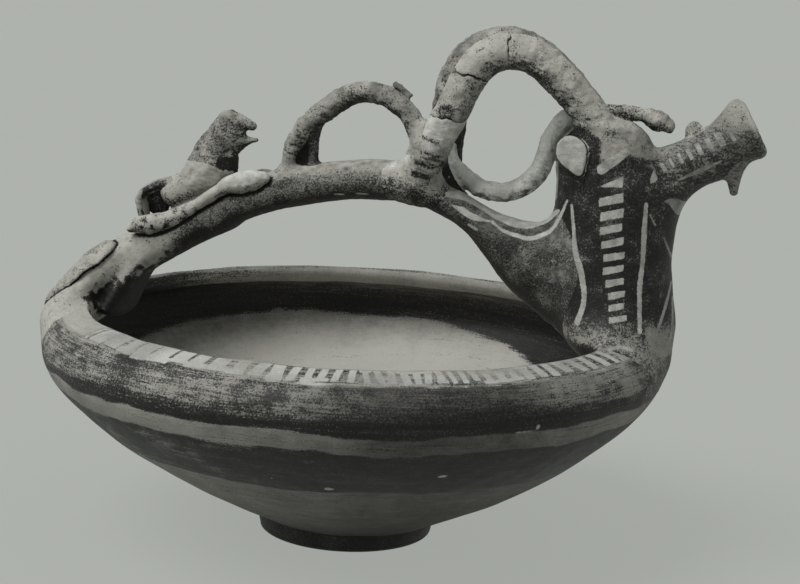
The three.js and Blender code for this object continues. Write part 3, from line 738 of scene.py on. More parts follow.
# %% [markdown]
# ## Loop and strut
# A small carrying loop stands between the handle and the foot of the viewer's horn, with a thin strut
# in its corner and a flake of clay standing up on its right. They are thin coils, luted with tight
# joints. The flake is a slab and a stalk, tilted by turning the coordinates before measuring.

# %% Roll the loop
loop_radius, strut_radius = 5.05, 2.5
loop_places = (
    (-36.6, 177), (-35.2, 184), (-32.2, 190.6), (-28.2, 196.6), (-23.4, 202), (-18, 206.7), (-11.3, 211.6),
    (-4.5, 214.7), (2.8, 215.6), (10.2, 214.6), (16.6, 211), (22.3, 206),
)
loop_end = near_horn_line.at(0.1)
loop_line = SmoothLine([(x, -8.0 * ease((x + 20) / 50), z) for x, z in loop_places] + [loop_end])


def loop_size(t):
    radius = loop_radius * (1 - 0.34 * (1 - ease(t / 0.2)) + 0.12 * ease((t - 0.85) / 0.15))
    return radius, radius


def slab(*halves):
    """Distance from a box: pairs of a coordinate and the half size along it."""
    gaps = [np.abs(c) - h for c, h in halves]
    return np.maximum(np.maximum(gaps[0], gaps[1]), gaps[2])


where, field, share = coil(loop_line, loop_size)
x, y, z = spots(where)
flake_x, flake_z = (x - 18.6) * 0.81 - (z - 218.2) * 0.59, (x - 18.6) * 0.59 + (z - 218.2) * 0.81
flake = slab((flake_x, 5.2), (flake_z + 0.4, 1.0), (y + 5.0, 3.0))
stalk = slab((flake_x - 3.6, 1.8), (flake_z + 3, 3), (y + 5.0, 2.4))
lute("carrying_loop", where, smooth_min(field, np.minimum(flake, stalk), 1.0), 5.0, share)
strut_line = SmoothLine([(-23.2, 0, 175.5), (-24.1, 0, 186), (-23.2, 0, 198)])
where, field, share = coil(strut_line, even(strut_radius))
x, y, z = spots(where)
web = oval((x + 29.5, 6.5), (y - 2.2, 2.2), (z - 186, 9.0))
lute("loop_strut", where, smooth_min(field, web, 2.0), 3.0, share)
print("loop:", round(loop_line.length), "mm of coil")

# %% [markdown]
# ## The snake
# The snake starts at the far horn, hangs over the saddle beside the neck, climbs again and lies on the
# goat's brow, where its head lifts a little. It is one long coil that is thin at its tail and again
# at its neck, and swells where it passes behind the ear.

# %% Roll the snake
snake_radius, snake_neck_radius = 4.5, 3.3
brow = neck_top + head_height + 3.8
snake_tail = ((42.0, 6.0, 191.2), (44.4, 5.0, 183.7), (48.7, 4.0, 178.1), (54.9, 2.0, 173.9))
snake_course = (
    (57, 172.9), (62.9, 171.9), (69.1, 171.9), (74.7, 173.7), (79.7, 176.9), (83.7, 181.5),
    (86.2, 186.4), (87.5, 192.2), (88.6, 197), (90.9, 201.9), (94, 206), (98.5, 209.8), (105, 212.3),
    (112.5, brow - 0.2), (neck_x, brow), (neck_x + 6, brow - 0.3), (neck_x + 12, brow - 1.4),
)
snake_line = SmoothLine([*snake_tail, *[(x, 0, z) for x, z in snake_course]])


def snake_size(t):
    behind_ear = np.exp(-(((t - snake_line.share_near((97, 0, 207.5))) / 0.05) ** 2))
    radius = snake_radius * (0.3 + 0.7 * ease(t / 0.13))
    radius = radius + (snake_neck_radius - snake_radius) * ease((t - 0.6) / 0.2) + 1.2 * behind_ear
    return radius, radius


where, field, share = coil(snake_line, snake_size)
lute("snake_body", where, field, 2.0, share)
snake_neck, snake_way = snake_line.at(1.0), snake_line.frame(1.0)[0]
snake_end = snake_neck + snake_way * 9.5 - (0, 0, 2.2)


def snake_head_size(t):
    swell = snake_neck_radius * (1 + 0.4 * np.sin(math.pi * np.minimum(t * 1.2, 1)))
    return swell, swell * 1.08


where, field, share = coil(SmoothLine([snake_neck, (snake_neck + snake_end) / 2, snake_end]), snake_head_size)
lute("snake_head", where, field, 1.6, share)
print("snake:", round(snake_line.length), "mm from tail to neck")

# %% [markdown]
# ## Seen from the front
# The photograph shows the vessel from one place. Edges that are known only from there, such as the
# dog's tail on the rim or a worn patch, are drawn on the upright plane through the middle, and each
# place on the clay is carried onto that plane by its line of sight.

# %% Lines and strokes as seen from the front
front_view = np.array((124.6, -841.9, 273.3))


def as_seen(x, y, z):
    """Where a place stands, seen from the photograph's side, on the upright plane through the middle."""
    share = front_view[1] / (front_view[1] - y)
    return front_view[0] + (x - front_view[0]) * share, front_view[2] + (z - front_view[2]) * share


def stroke(u, v, points, half):
    """How deep a place (u, v) lies inside a brush stroke through points, in millimetres."""
    half = np.broadcast_to(np.asarray(half, float), len(points))
    deep = np.full(u.shape, -99.0)
    for (a, b), h0, h1 in zip(zip(points, points[1:]), half, half[1:]):
        du, dv = b[0] - a[0], b[1] - a[1]
        t = np.clip(((u - a[0]) * du + (v - a[1]) * dv) / (du * du + dv * dv), 0, 1)
        gap = np.hypot(u - a[0] - t * du, v - a[1] - t * dv)
        deep = np.maximum(deep, h0 + t * (h1 - h0) - gap)
    return deep


print("the middle of the foot is seen at", np.round(as_seen(0.0, 0.0, 0.0), 1))

# %% [markdown]
# ## The dog
# The dog crouches on the left of the handle with its legs stretched along it, its mouth open and its
# tail hanging down to the rim. Body and head grow smoothly out of each other, so they are luted with
# wide joints. The jaws are two short tapering coils with a gap between them.

# %% Body, head and jaws
def side_line(y, *places):
    """A line in the upright plane at y, through places given as X and Z."""
    return SmoothLine([(x, y, z) for x, z in places])


def sizes(shares, wide, thick):
    """Half width and half thickness along a coil, given at some shares of it."""
    return lambda t: (np.interp(t, shares, wide), np.interp(t, shares, thick))


dog_spine = side_line(0, (-91.5, 161.5), (-86, 164.8), (-80.5, 168), (-74, 172), (-69, 174.5))
where, field, share = coil(dog_spine, sizes((0, 0.25, 0.5, 1), (7.2, 7.8, 8.4, 8.0), (8.0, 8.2, 8.4, 8.4)))
lute("dog_body", where, field, 2.5, share)
dog_neck = side_line(0, (-76.5, 171), (-73.4, 178.5), (-69.3, 186), (-66, 192), (-64.6, 196.3))
dog_neck_size = sizes((0, 0.3, 0.6, 0.85, 1), (8.4, 7.8, 7.0, 6.6, 6.4), (11.4, 11.0, 9.8, 8.8, 7.8))
where, field, share = coil(dog_neck, dog_neck_size)
lute("dog_head", where, field, 4.0, share)
upper_jaw = side_line(0, (-62, 197.2), (-57.5, 196.6), (-54.3, 195.7))
where, field, share = coil(upper_jaw, sizes((0, 0.6, 1), (4.4, 3.4, 2.6), (4.2, 3.1, 2.2)), step=0.8)
lute("dog_upper_jaw", where, field, 1.4, share)
lower_jaw = side_line(0, (-63, 187), (-57.2, 188.3), (-52, 189.3))
where, field, share = coil(lower_jaw, sizes((0, 0.5, 1), (4.4, 3.0, 1.3), (4.8, 2.5, 0.9)), step=0.8)
lute("dog_lower_jaw", where, field, 2.2, share)
print("dog:", round(dog_spine.length + dog_neck.length), "mm from rump to crown")

# %% [markdown]
# ## Legs, rump and tail
# Fore and hind leg on each side are one coil along the handle that swells at the haunch and the paw.
# Legs and tail only touch the handle, and a dark line shows under them, so their joints are very
# tight. The rump is an arched coil with a hollow behind it. The tail is pressed flat on the handle's
# root: a skin over the clay, cut to the outline that is seen from the front.

# %% Legs and rump
leg_places = (
    (-110.4, 143.6), (-105.8, 145.8), (-100.5, 146.3), (-93.5, 148.2), (-86.1, 152.0), (-78.2, 157.2),
    (-71.3, 161.9), (-66, 165.7), (-62.8, 167.9), (-57, 169.4), (-49.7, 171.3), (-45.8, 172.4),
)
leg_size = sizes(
    (0, 0.07, 0.145, 0.245, 0.36, 0.5, 0.61, 0.7, 0.76, 0.84, 0.94, 1),
    (2.4, 4.2, 4.8, 4.6, 4.2, 3.6, 3.5, 3.8, 4.4, 5.0, 4.8, 3.2),
    (1.8, 4.2, 4.9, 4.6, 4.0, 3.0, 2.9, 3.2, 4.2, 5.4, 5.1, 3.2),
)
for name, y, drop in (("dog_near_legs", -11.6, 0.0), ("dog_far_legs", 11.6, 2.0)):
    where, field, share = coil(side_line(y, *[(x, z - drop) for x, z in leg_places]), leg_size)
    lute(name, where, field, 0.3, share)
rump_line = side_line(
    0, (-92.5, 166.3), (-97, 165.4), (-102.2, 163.2), (-106.8, 160.6), (-108.7, 157.4), (-108.1, 153),
    (-105.5, 143),
)
where, field, share = coil(rump_line, sizes((0, 0.5, 1), (5.0, 5.4, 5.0), (2.6, 2.5, 2.6)))
x, y, z = spots(where)
hollow_back = oval((x + 101, 6.5), (y - 4.0, 2.4), (z - 157.5, 8.5))
lute("dog_rump", where, smooth_min(field, hollow_back, 1.5), 1.6, share)
print("one side's legs:", round(side_line(0, *leg_places).length), "mm")

# %% The tail
tail_places = (
    (-152.3, 101.1), (-150.4, 107.8), (-145.4, 114.2), (-139.4, 120.7), (-132.3, 126.2), (-125.8, 131.7),
    (-120.8, 134.0),
)
tail_half = (4.4, 3.9, 3.6, 3.6, 4.3, 3.6, 1.4)
tail_thick, tail_half_wide, tail_half_long = 2.6, 19, 27
where, x, y, z = block((-154, -30, 98), (-114, 14, 142))
across, upright = as_seen(x, y, z)
leaf = -stroke(across, upright, tail_places, tail_half)
lengthwise = (x + 136.5) * 0.685 + (z - 117.5) * 0.729
rounded = (np.abs(y + 12) / tail_half_wide) ** 3 + (np.abs(lengthwise) / tail_half_long) ** 3
rounded = (rounded ** (1 / 3) - 1) * tail_half_wide
field = smooth_max(smooth_max(clay[where] - tail_thick, leaf, 1.6), rounded, 3.0).astype(np.float32)
lute("dog_tail", where, field, 0.6)
print("lumps:", len(lumps))

# %% [markdown]
# ## Make the pieces
# Every lump now becomes a mesh object of its own, and the bowl and the foot are spun. The neck's
# channel also pierces the rim, which is the one clean boolean in this lesson: the channel's lower end
# is taken out of the bowl.

# %% Spin the bowl and the foot
made = {}
points, faces = turned(section, around)
bowl = mesh_object("clay_bowl", points, faces)
foot_section = np.vstack([
    [(0.0, 0.0), (foot_radius - 3.5, 0.0)],
    bend((foot_radius - 2.6, 0.0), (foot_radius - 0.2, 0.2), (foot_radius, 2.2), 8),
    bend((foot_radius + 0.1, 3.0), (foot_top_radius + 0.2, 6.0), (foot_top_radius, foot_height - 1.5), 12),
    bend(
        (foot_top_radius - 0.1, foot_height - 1.2), (foot_top_radius - 0.3, foot_height),
        (40.0, foot_height), 6,
    ),
    [(0.0, foot_height)],
])
points, faces = turned(foot_section, around // 2)
made["foot"] = mesh_object("clay_foot", points, faces)
print("bowl and foot:", len(bowl.data.vertices), "and", len(points), "points")

# %% Pierce the bowl and skin the lumps
where, x, y, z = block((94, -34, grid_low[2]), (158, 34, neck_top))
pipe = np.maximum(channel_field(x, y, z), z - (lip_height + 22))
points, faces = skin(where, pipe)
drill = mesh_object("channel_drill", relax(points, faces), faces)
cutter = bowl.modifiers.new("channel", "BOOLEAN")
cutter.operation, cutter.object, cutter.solver = "DIFFERENCE", drill, "MANIFOLD"
bpy.context.view_layer.update()
pierced = bpy.data.meshes.new_from_object(bowl.evaluated_get(bpy.context.evaluated_depsgraph_get()))
bowl.modifiers.clear()
pierced.materials.clear()
bowl.data = pierced
bpy.data.objects.remove(drill)
made["bowl"] = bowl
for name, (where, own) in lumps.items():
    points, faces = skin(where, own)
    made[name] = mesh_object("clay_" + name, relax(points, faces), faces)
print("pieces:", len(made), "points:", sum(len(o.data.vertices) for o in made.values()))

# %% [markdown]
# ## Stray crumbs
# Where two lumps only just touch, the grid can leave a crumb of clay beside the piece. A piece is one
# body, so only its largest island stays.

# %% Keep one island a piece
def largest_island(mesh):
    count = len(mesh.vertices)
    ends = np.empty(len(mesh.edges) * 2, np.int64)
    mesh.edges.foreach_get("vertices", ends)
    ends = ends.reshape(-1, 2)
    label = np.arange(count)
    while True:
        low = np.minimum(label[ends[:, 0]], label[ends[:, 1]])
        fresh = label.copy()
        np.minimum.at(fresh, ends[:, 0], low)
        np.minimum.at(fresh, ends[:, 1], low)
        fresh = fresh[fresh]
        if np.array_equal(fresh, label):
            return label == np.bincount(label).argmax()
        label = fresh


for name in lumps:
    mesh = made[name].data
    keep = largest_island(mesh)
    if not keep.all():
        points = np.empty(len(mesh.vertices) * 3)
        mesh.vertices.foreach_get("co", points)
        number = np.cumsum(keep) - 1
        faces = [[number[v] for v in p.vertices] for p in mesh.polygons if keep[p.vertices[0]]]
        bpy.data.objects.remove(made[name])
        made[name] = mesh_object("clay_" + name, points.reshape(-1, 3)[keep] / METRES, np.array(faces))
        print(name, "lost", int((~keep).sum()), "points of crumbs")
print("pieces of one island each:", len(lumps))

# %% [markdown]
# ## Press in the marks of the hand
# Coiled clay is never quite even. Soft swellings go over the whole vessel, and a finer crust of soil
# goes onto the pieces that stand up and were cleaned least: horns, loop, snake and dog.

# %% How much crust, and where the belly is fuller
crusted = {
    "near_horn_tip": 0.8, "near_horn_lower": 0.7, "near_horn_crown": 0.5, "near_horn_root": 0.9,
    "far_horn": 0.9, "carrying_loop": 1.0, "loop_strut": 0.8, "snake_body": 0.7, "snake_head": 0.9,
    "dog_head": 1.0, "dog_upper_jaw": 0.6, "dog_lower_jaw": 0.6, "dog_rump": 0.7, "dog_near_legs": 0.5,
    "dog_far_legs": 0.5, "dog_tail": 0.5, "dog_body": 0.2, "broken_stub": 1.2, "near_ear": 0.3,
    "far_ear": 0.3, "beard": 0.2, "snout_spout": 0.25, "goat_head": 0.35, "basket_handle": 0.2,
}


def read(mesh, layer):
    """The places ("co") or the normals of a mesh's points."""
    values = np.empty(len(mesh.vertices) * 3, np.float32)
    source = mesh.vertices if layer == "co" else mesh.vertex_normals
    source.foreach_get("co" if layer == "co" else "vector", values)
    return values.reshape(-1, 3).astype(float)


def fuller_belly(points, normals):
    """The bowl sags a little below, most on the right."""
    x, y, z = points.T
    outward = ease((normals[:, 0] * x + normals[:, 1] * y) / np.hypot(x, y).clip(1) / 0.3)
    to_the_right = 0.5 + 0.5 * np.cos(np.arctan2(y, x) + math.radians(30))
    return (1.5 + 1.9 * to_the_right) * outward * ease((72 - z) / 45)


print("crusted pieces:", len(crusted))

# %% Move the points along their normals
for name, piece in made.items():
    points, normals = read(piece.data, "co") / METRES, read(piece.data, "normal")
    push = hand_marks(points, crusted.get(name, 0.0))
    if name == "bowl":
        push += fuller_belly(points, normals)
    if name == "foot":
        push *= ease(points[:, 2] / 2.0)
    moved = (points + normals * push[:, None]) * METRES
    piece.data.vertices.foreach_set("co", moved.astype(np.float32).ravel())
    piece.data.update()


def volume(mesh):
    mesh.calc_loop_triangles()
    corners = np.empty(len(mesh.loop_triangles) * 3, np.int64)
    mesh.loop_triangles.foreach_get("vertices", corners)
    a, b, c = read(mesh, "co")[corners].reshape(-1, 3, 3).transpose(1, 0, 2)
    return np.sum(np.cross(a, b) * c) / 6 * 1e6


print("clay in cubic centimetres:", {name: round(volume(piece.data), 1) for name, piece in made.items()})

# %% [markdown]
# ## Paint, as numbers on the points
# The potter brushed dark slip over the clay and drew on it in a pale paint. A picture could hold that,
# but pictures blur and need unwrapping. Here every point carries its amounts: slip, pale paint and how
# chalky that is, how pale the bare clay is, and soil, which also holds painted shade in seams and
# hollows. Slip and pale amounts also carry painted light and shade in places. Half means the edge of a
# brush stroke, so the shader can cut a worn edge there with its own noise.

# %% Brush tools
def edge(deep, soft=1.0):
    """An amount that is one half at the edge of a stroke and one inside it."""
    return np.clip(0.5 + deep / (2 * soft), 0, 1)


def sample(layer, where, points):
    """Values of a layer of the grid at points."""
    corner = grid_low + pitch * np.array([s.start for s in where])
    index = np.rint((points - corner) / pitch).astype(int)
    index = np.clip(index, 0, np.array(layer.shape) - 1)
    return layer[index[:, 0], index[:, 1], index[:, 2]]


run_widest, run_lip = section_run[widest_index], section_run[lip_index]
run_under, run_hollow = section_run[under_index], section_run[hollow_index]


def run_on_section(points):
    """How far along the bowl's section each point lies."""
    p = np.stack([np.hypot(points[:, 0], points[:, 1]), points[:, 2]], -1)
    best, run = np.full(len(p), 1e9), np.zeros(len(p))
    for a, b, start in zip(section, section[1:], section_run):
        d = b - a
        t = np.clip(((p - a) @ d) / (d @ d), 0, 1)
        gap = np.linalg.norm(p - a - t[:, None] * d, axis=1)
        near = gap < best
        best[near] = gap[near]
        run[near] = start + t[near] * math.hypot(*d)
    return run


def run_at(height):
    """How far along the section a height on the bowl's outside lies."""
    outside = slice(seat_index, lip_index + 1)
    return np.interp(height, section[outside, 1], section_run[outside])


print("the lip lies", round(float(run_lip)), "mm along the section")

# %% [markdown]
# ## Ticks round the lip
# Pale ticks go all round the lip. The potter counted them off by eye, so their widths wander and some
# run together at the foot or at the head. An array of equal strokes would look printed. Here the
# spacing follows a few measured places round the rim, and a seeded draw shakes every tick.

# %% Lay out the ticks
tick_outer, tick_inner = 139.6, 129.6
tick_start = -143.0
tick_spacing = (
    (-143, 5.0), (-105, 4.0), (-95, 2.9), (-78, 2.15), (-62, 2.2), (-42, 3.6), (-28, 3.9), (200, 3.3),
)
tick_share = (
    (-143, 0.8), (-108, 0.74), (-95, 0.6), (-80, 0.5), (-66, 0.62), (-54, 0.5), (-42, 0.58), (200, 0.55),
)


def along_table(values, table):
    """Read a table of pairs at some values, with straight lines between the pairs."""
    return np.interp(values, *zip(*table))


tick_draw = np.random.default_rng(11)
tick_edges = [tick_start]
while tick_edges[-1] < tick_start + 360:
    spacing = along_table(tick_edges[-1], tick_spacing)
    tick_edges.append(tick_edges[-1] + spacing * tick_draw.uniform(0.84, 1.16))
tick_edges = np.array(tick_edges)
tick_middle, tick_wide = (tick_edges[1:] + tick_edges[:-1]) / 2, np.diff(tick_edges)
tick_half = along_table(tick_middle, tick_share) + tick_draw.normal(0, 0.07, len(tick_wide))
tick_half = tick_wide / 2 * tick_half
tick_slant = tick_draw.normal(0, 0.05, len(tick_wide))
tick_reach = tick_outer + tick_draw.normal(0, 0.5, len(tick_wide))
tick_tied = tick_draw.random(len(tick_wide))
print("ticks round the lip:", len(tick_wide))


# %% How deep a place lies in a tick
def tick_depth(points, turn, radius, left):
    tick = np.clip(np.searchsorted(tick_edges, turn, "right") - 1, 0, len(tick_wide) - 1)
    sideways = turn - tick_middle[tick] - tick_slant[tick] * (radius - 134)
    across = (tick_half[tick] - np.abs(sideways)) * math.pi / 180 * radius
    outside, inner = tick_reach[tick] + 0.8 * left - radius, radius - tick_inner
    deep = np.minimum(np.minimum(across, outside), inner)
    foot, head = np.minimum(outside, 2.0 + 1.4 * left - outside), np.minimum(inner, 2.2 - inner)
    deep = np.maximum(deep, np.where(tick_tied[tick] < 0.16 + 0.66 * left, foot, -9))
    deep = np.maximum(deep, np.where(tick_tied[tick] > 0.88, head, -9))
    in_front = (turn > -96) & (turn < -48)
    drip = 0.15 - np.abs(radius - tick_outer - 1.7) + 0.35 * ripple(points, 14, 34)
    return np.maximum(deep, np.where(in_front, drip, -9))


print("a tick is about", round(float(np.median(tick_half)) * math.pi / 90 * tick_outer, 1), "mm wide")

# %% [markdown]
# ## Bands on the bowl
# Two dark bands run round the bowl with a bare band between them and a bare belly below, which is
# painted darker as painted shade. The slip is rubbed away most on the left of the upper band. Inside,
# a dark band of slip runs under the lip, widened towards the neck with painted shade; below it the
# wall is painted paler towards the floor and darker on the left, as painted light and shade; and the
# lip is painted paler at the back and darker at the back left, as painted light and shade.
# A ramp over the height could paint the bands, but they waver and wear differently round the bowl. So
# short tables say how worn, bare or dark the clay is at some turns in degrees; -90 faces the viewer.

# %% Wear round the bowl
low_band_foot, low_band_top, top_band_foot = 53.4, 76.6, 85.2
top_wear = (
    (-143, 0.45), (-130, 0.4), (-124, 0.24), (-116, 0.38), (-108, 0.4), (-99, 0.5), (-88, 0.47), (-77, 0.46),
    (-66, 0.3), (-55, 0.28), (-45, 0.5), (-36, 0.46), (-26, 0.48), (-12, 0.42), (20, 0.4), (100, 0.3),
    (217, 0.5),
)
wear_start = ((-143, 86), (-99, 86), (-88, 87), (-77, 91.5), (-60, 93), (-45, 90), (-26, 87), (217, 86))
bare_tone = (
    (-143, 0.66), (-108, 0.64), (-97, 0.54), (-88, 0.47), (-77, 0.25), (-55, 0.23), (-45, 0.43), (-30, 0.5),
    (217, 0.6),
)
# Inside: the dark band under the lip, widened towards the neck with painted shade. On the lip: thin slip,
# painted paler at the back and darker at the back left, as painted light and shade.
inside_slip_and_shade = (
    (-143, 8), (-60, 28), (20, 28), (32, 31), (45, 26), (60, 13), (80, 4), (100, 3), (120, 2), (150, 9),
    (170, 16), (217, 16),
)
lip_slip_and_light = ((-143, 0.4), (0, 0.4), (60, 0.0), (90, 0.06), (115, 0.2), (135, 0.46), (155, 0.9), (217, 0.9))
bowl_chips = (
    (-49.8, 87.6, 1.0, 1.2), (-85.3, 55.0, 2.0, 0.8), (-64.0, 64.0, 2.0, 0.7), (-52.0, 86.0, 3.5, 0.3),
)


def run_at_rim(radius):
    rim = slice(widest_index, lip_index + 1)
    return np.interp(-radius, -section[rim, 0], section_run[rim])


tick_foot = run_at_rim(tick_outer + 1.4)
print("the ticks end", round(float(run_lip - tick_foot), 1), "mm below the edge of the lip")


# %% Paint the bowl
def bowl_slip(points, at, run, turn, inside, below):
    """Dark slip: two bands, one inside, thin on the lip; painted light and shade added in places."""
    x, y, z = points.T
    cloud, blot = ripple(points, 26, 33), ripple(points, 8, 35)
    left, right = ease((30 - x) / 75), ease((x - 72) / 45)
    above_band = run_at(z) - run_at(along_table(turn, wear_start))
    wear = 0.03 + along_table(turn, top_wear) * (1 + 0.12 * cloud + 0.14 * blot) * ease(above_band / 9)
    top_band = edge(np.minimum(at - run_at(top_band_foot), tick_foot - at), 0.8) * np.clip(0.97 - wear, 0, 1)
    low_wear = left * (0.12 + 0.1 * cloud + 0.08 * blot) + 0.04 * cloud
    in_low_band = np.minimum(at - run_at(low_band_foot), run_at(low_band_top) - at)
    low_band = edge(in_low_band) * np.clip(1.0 - low_wear, 0, 1)
    thin = 0.3 - 0.4 * (along_table(turn, bare_tone) - 0.25) + 0.06 * cloud
    # The bare belly below the low band takes a little slip: painted shade.
    slip = np.maximum(np.maximum(low_band, top_band), np.where(below, 0.32, thin))
    slip = np.where(run > tick_foot, 0.4 + 0.06 * cloud + 0.1 * right, slip)
    # Inside: the band with painted shade, and painted light near the top of the lip's inner face.
    inside_band_and_shade = edge(run_hollow + along_table(turn, inside_slip_and_shade) - at, 2.2)
    on_lip = along_table(turn, lip_slip_and_light)
    within = 0.08 + 0.87 * inside_band_and_shade - 0.55 * (0.95 - on_lip) * ease((z - 88) / 11)
    return np.where(run > run_lip + 1.5, np.where(inside, within, on_lip), slip)


def paint_bowl(points):
    x, y, z = points.T
    run, radius = run_on_section(points), np.hypot(x, y)
    turn = (np.degrees(np.arctan2(y, x)) - tick_start) % 360 + tick_start
    at = run + 0.7 * ripple(points, 60, 31) + 0.3 * ripple(points, 17, 32)
    inside, below = run > run_under + 2, at < run_at(low_band_foot)
    slip = bowl_slip(points, at, run, turn, inside, below)

    deep = tick_depth(points, turn, radius, ease((30 - x) / 75))
    white = np.where((run > run_widest) & (run < run_lip + 2), edge(deep, 1.3), 0)
    for chip_turn, chip_z, half_long, half_high in bowl_chips:
        away = np.hypot((turn - chip_turn) * math.pi / 180 * radius / half_long, (z - chip_z) / half_high)
        white = np.maximum(white, np.where(inside, 0, edge((1 - away) * half_high, 0.8)))

    left_end = np.maximum(ease((turn - 170 + 4 * ripple(points, 8, 35)) / 5), ease((-138 - turn) / 4))
    plaster = ease((run - tick_foot) / 1.5) * left_end * ease((run_lip + 3 - at) / 4)
    slip, white = slip + plaster * (0.16 - slip), white * (1 - plaster)
    bare = along_table(turn, bare_tone)
    # Painted light and shade inside: paler towards the floor, darker on the left. Below the low band the
    # belly is painted darker, as painted shade.
    pale = np.where(inside, 0.36 + 0.62 * ease((92 - z) / 36) - 0.26 * ease((-55 - x) / 50), bare)
    pale = np.where(~inside & below, 0.2 + 0.56 * bare, pale)
    pale = np.where((run > tick_foot) & ~inside, 0.58, pale) + plaster * 0.12
    chalk = 0.5 + 0.07 * ripple(points, 26, 33)
    ring = np.stack([7 * x / radius.clip(1), 7 * y / radius.clip(1), run], -1)
    return {"slip": slip, "white": white, "pale": pale, "chalk": chalk, "ring": ring}


print("bands:", low_band_foot, "to", low_band_top, "mm and up from", top_band_foot, "mm")

# %% [markdown]
# ## Drawing on the neck, the saddle and the snout
# On each side of the neck a ladder of pale bars climbs between two wavering lines. Curved strokes
# cross the saddle where the handle meets the neck, and short ticks sit along the snout. They are
# drawn as seen from the side, in X and Z, and the far side gets the same drawing. Each stroke has its
# places, its half width and how chalky it is.

# %% Long strokes
neck_lines = (
    (((101.5, 170), (103.6, 157), (105.1, 148), (108.1, 140), (110.4, 127), (108, 117)),
     (0.6, 0.8, 1.3, 1.5, 1.1, 1.3), 0.72),
    (((135.6, 173), (135.7, 159), (136, 147), (135.6, 134), (137, 115)), (0.9, 1.2, 1.0, 1.1, 0.9), 0.78),
    (((137.7, 168.5), (140.5, 163.5)), 0.45, 0.4),
    (((145, 157.5), (149.6, 147)), 0.45, 0.4),
    (((150.3, 135.5), (148.4, 126), (145.2, 115)), (0.4, 0.7, 0.6), 0.55),
    (((151.4, 128), (152.2, 116), (151.4, 103)), 0.45, 0.5),
    (((114.2, 188.2), (119.5, 192.4), (125.0, 196.6)), (2.3, 2.3, 1.6), 0.75),
    (((143.8, 174.3), (147, 174.2), (152.5, 170.5)), (0.2, 1.6, 3.6), 0.42),
    (((123.5, 108.9), (129.3, 109.3), (134, 107.9)), 0.5, 0.6),
    (((92.6, 188), (93.2, 180), (93, 171)), 0.9, 0.55),
)
saddle_lines = (
    (((38, 170.4), (45.1, 170.2), (51.8, 169), (59.1, 165.4), (67.9, 160.7), (75.6, 158.2), (82.6, 157.9),
      (89.5, 160.6), (95.3, 165.9)), (0.5, 1.4, 1.7, 1.7, 1.7, 1.6, 1.5, 1.3, 0.7), 0.98),
    (((45.2, 165.7), (50.1, 163.5), (55.7, 160.7), (63.7, 159)), (0.2, 1.4, 1.4, 0.3), 1.0),
    (((64.6, 158.7), (70.2, 155.1), (76.7, 153.2), (82.2, 152.2), (88.4, 154), (92.9, 157.1), (96.3, 163.6),
      (99.3, 171.7)), (0.5, 0.7, 0.8, 0.9, 0.9, 0.8, 0.7, 0.5), 0.98),
    (((31.9, 165.0), (35.5, 164.3)), 0.8, 0.7),
    (((53.9, 156.8), (57.8, 154.9)), 0.6, 0.7),
)


def swept(line, half):
    """The same stroke as a smooth sweep of the brush."""
    sweep = SmoothLine(line, 6)
    knots = [sweep.share_near(place) for place in line]
    shares = np.linspace(0, 1, 6 * len(line))
    return sweep.at(shares), np.interp(shares, knots, np.broadcast_to(half, len(line)))


print("long strokes:", len(neck_lines), "on the neck and", len(saddle_lines), "on the saddle")

# %% Bars, ticks and all strokes together
bar_draw = np.random.default_rng(5)
bar_jitter = bar_draw.normal(0, 1, (11, 5))
snout_tick_half = (0.85, 0.6, 0.7, 0.85, 1.05, 1.05, 1.5, 0.75)


def ladder_bar(bar, x, z):
    """How deep a place lies in one bar of the ladder, counted from the top."""
    j0, j1, j2, j3, j4 = bar_jitter[bar]
    share = bar / 10
    dx = x - (118.8 + 7.4 * share + 0.35 * j0)
    dz = z - (181.5 - 7.1 * bar + 0.1 * bar * bar) - (0.31 - 0.1 * share + 0.02 * j1) * dx
    half_long = 5.9 - 2.1 * share + 0.25 * j2
    half_high = (2.1 - 0.75 * share + 0.1 * j3) * (1 + 0.06 * j4 * dx / half_long)
    if bar == 0:
        half_high = half_high * np.clip(0.55 + 0.6 * dx / half_long, 0, 2)
    return np.minimum(half_long - np.abs(dx), half_high - np.abs(dz))


def snout_tick(tick, along, up):
    """How deep a place lies in one tick on the snout, counted from the head."""
    middle = 21.7 + 4.1 * tick + 0.11 * tick * tick
    low, high = 1.2 + 0.2 * tick, 5.2 + 0.62 * tick
    above = up - (low + high) / 2
    across = snout_tick_half[tick] - np.abs(along - middle + above * 0.12)
    return np.minimum(across, (high - low) / 2 - np.abs(above))


def pale_strokes(points):
    """Depth inside the pale strokes and how chalky the nearest one is."""
    x, y, z = points.T
    along, up = snout_coordinates(x, z)
    deep, chalk = np.full(len(points), -9.0), np.full(len(points), 0.7)

    def draw(depth, strength, only=True):
        nonlocal deep, chalk
        take = (depth > deep) & only
        deep, chalk = np.where(take, depth, deep), np.where(take, strength, chalk)

    for bar in range(len(bar_jitter)):
        draw(ladder_bar(bar, x, z), 0.82 - 0.01 * bar, np.abs(y) > 9)
    for line, half, strength in neck_lines + saddle_lines:
        draw(stroke(x, z, *swept(line, half)), strength)
    on_side = (np.abs(y) > 4) & (along > 12)
    draw(stroke(along, up, ((14.2, -0.4), (16, 0.6), (17.2, 3.6)), (0.5, 1.7, 0.4)), 0.62, on_side)
    for tick in range(len(snout_tick_half)):
        draw(snout_tick(tick, along, up), 0.66 - 0.03 * tick, on_side)
    draw(stroke(along, up, ((25.6, -4.9), (37, -4.4), (47.5, -3.8)), (0.2, 1.2, 0.3)), 0.42, on_side)
    return deep, 0.66 * chalk


print("bars:", len(bar_jitter), "ticks on the snout:", len(snout_tick_half))

# %% [markdown]
# ## Slip on the neck, the head and the snout
# The neck is the darkest piece. Its foot is rubbed where hands and water went, the crown of the head
# is worn almost bare, and the lip of the snout is pale. Soft ramps over the place do this, because
# wear has no edges; the shader breaks them up into specks later.

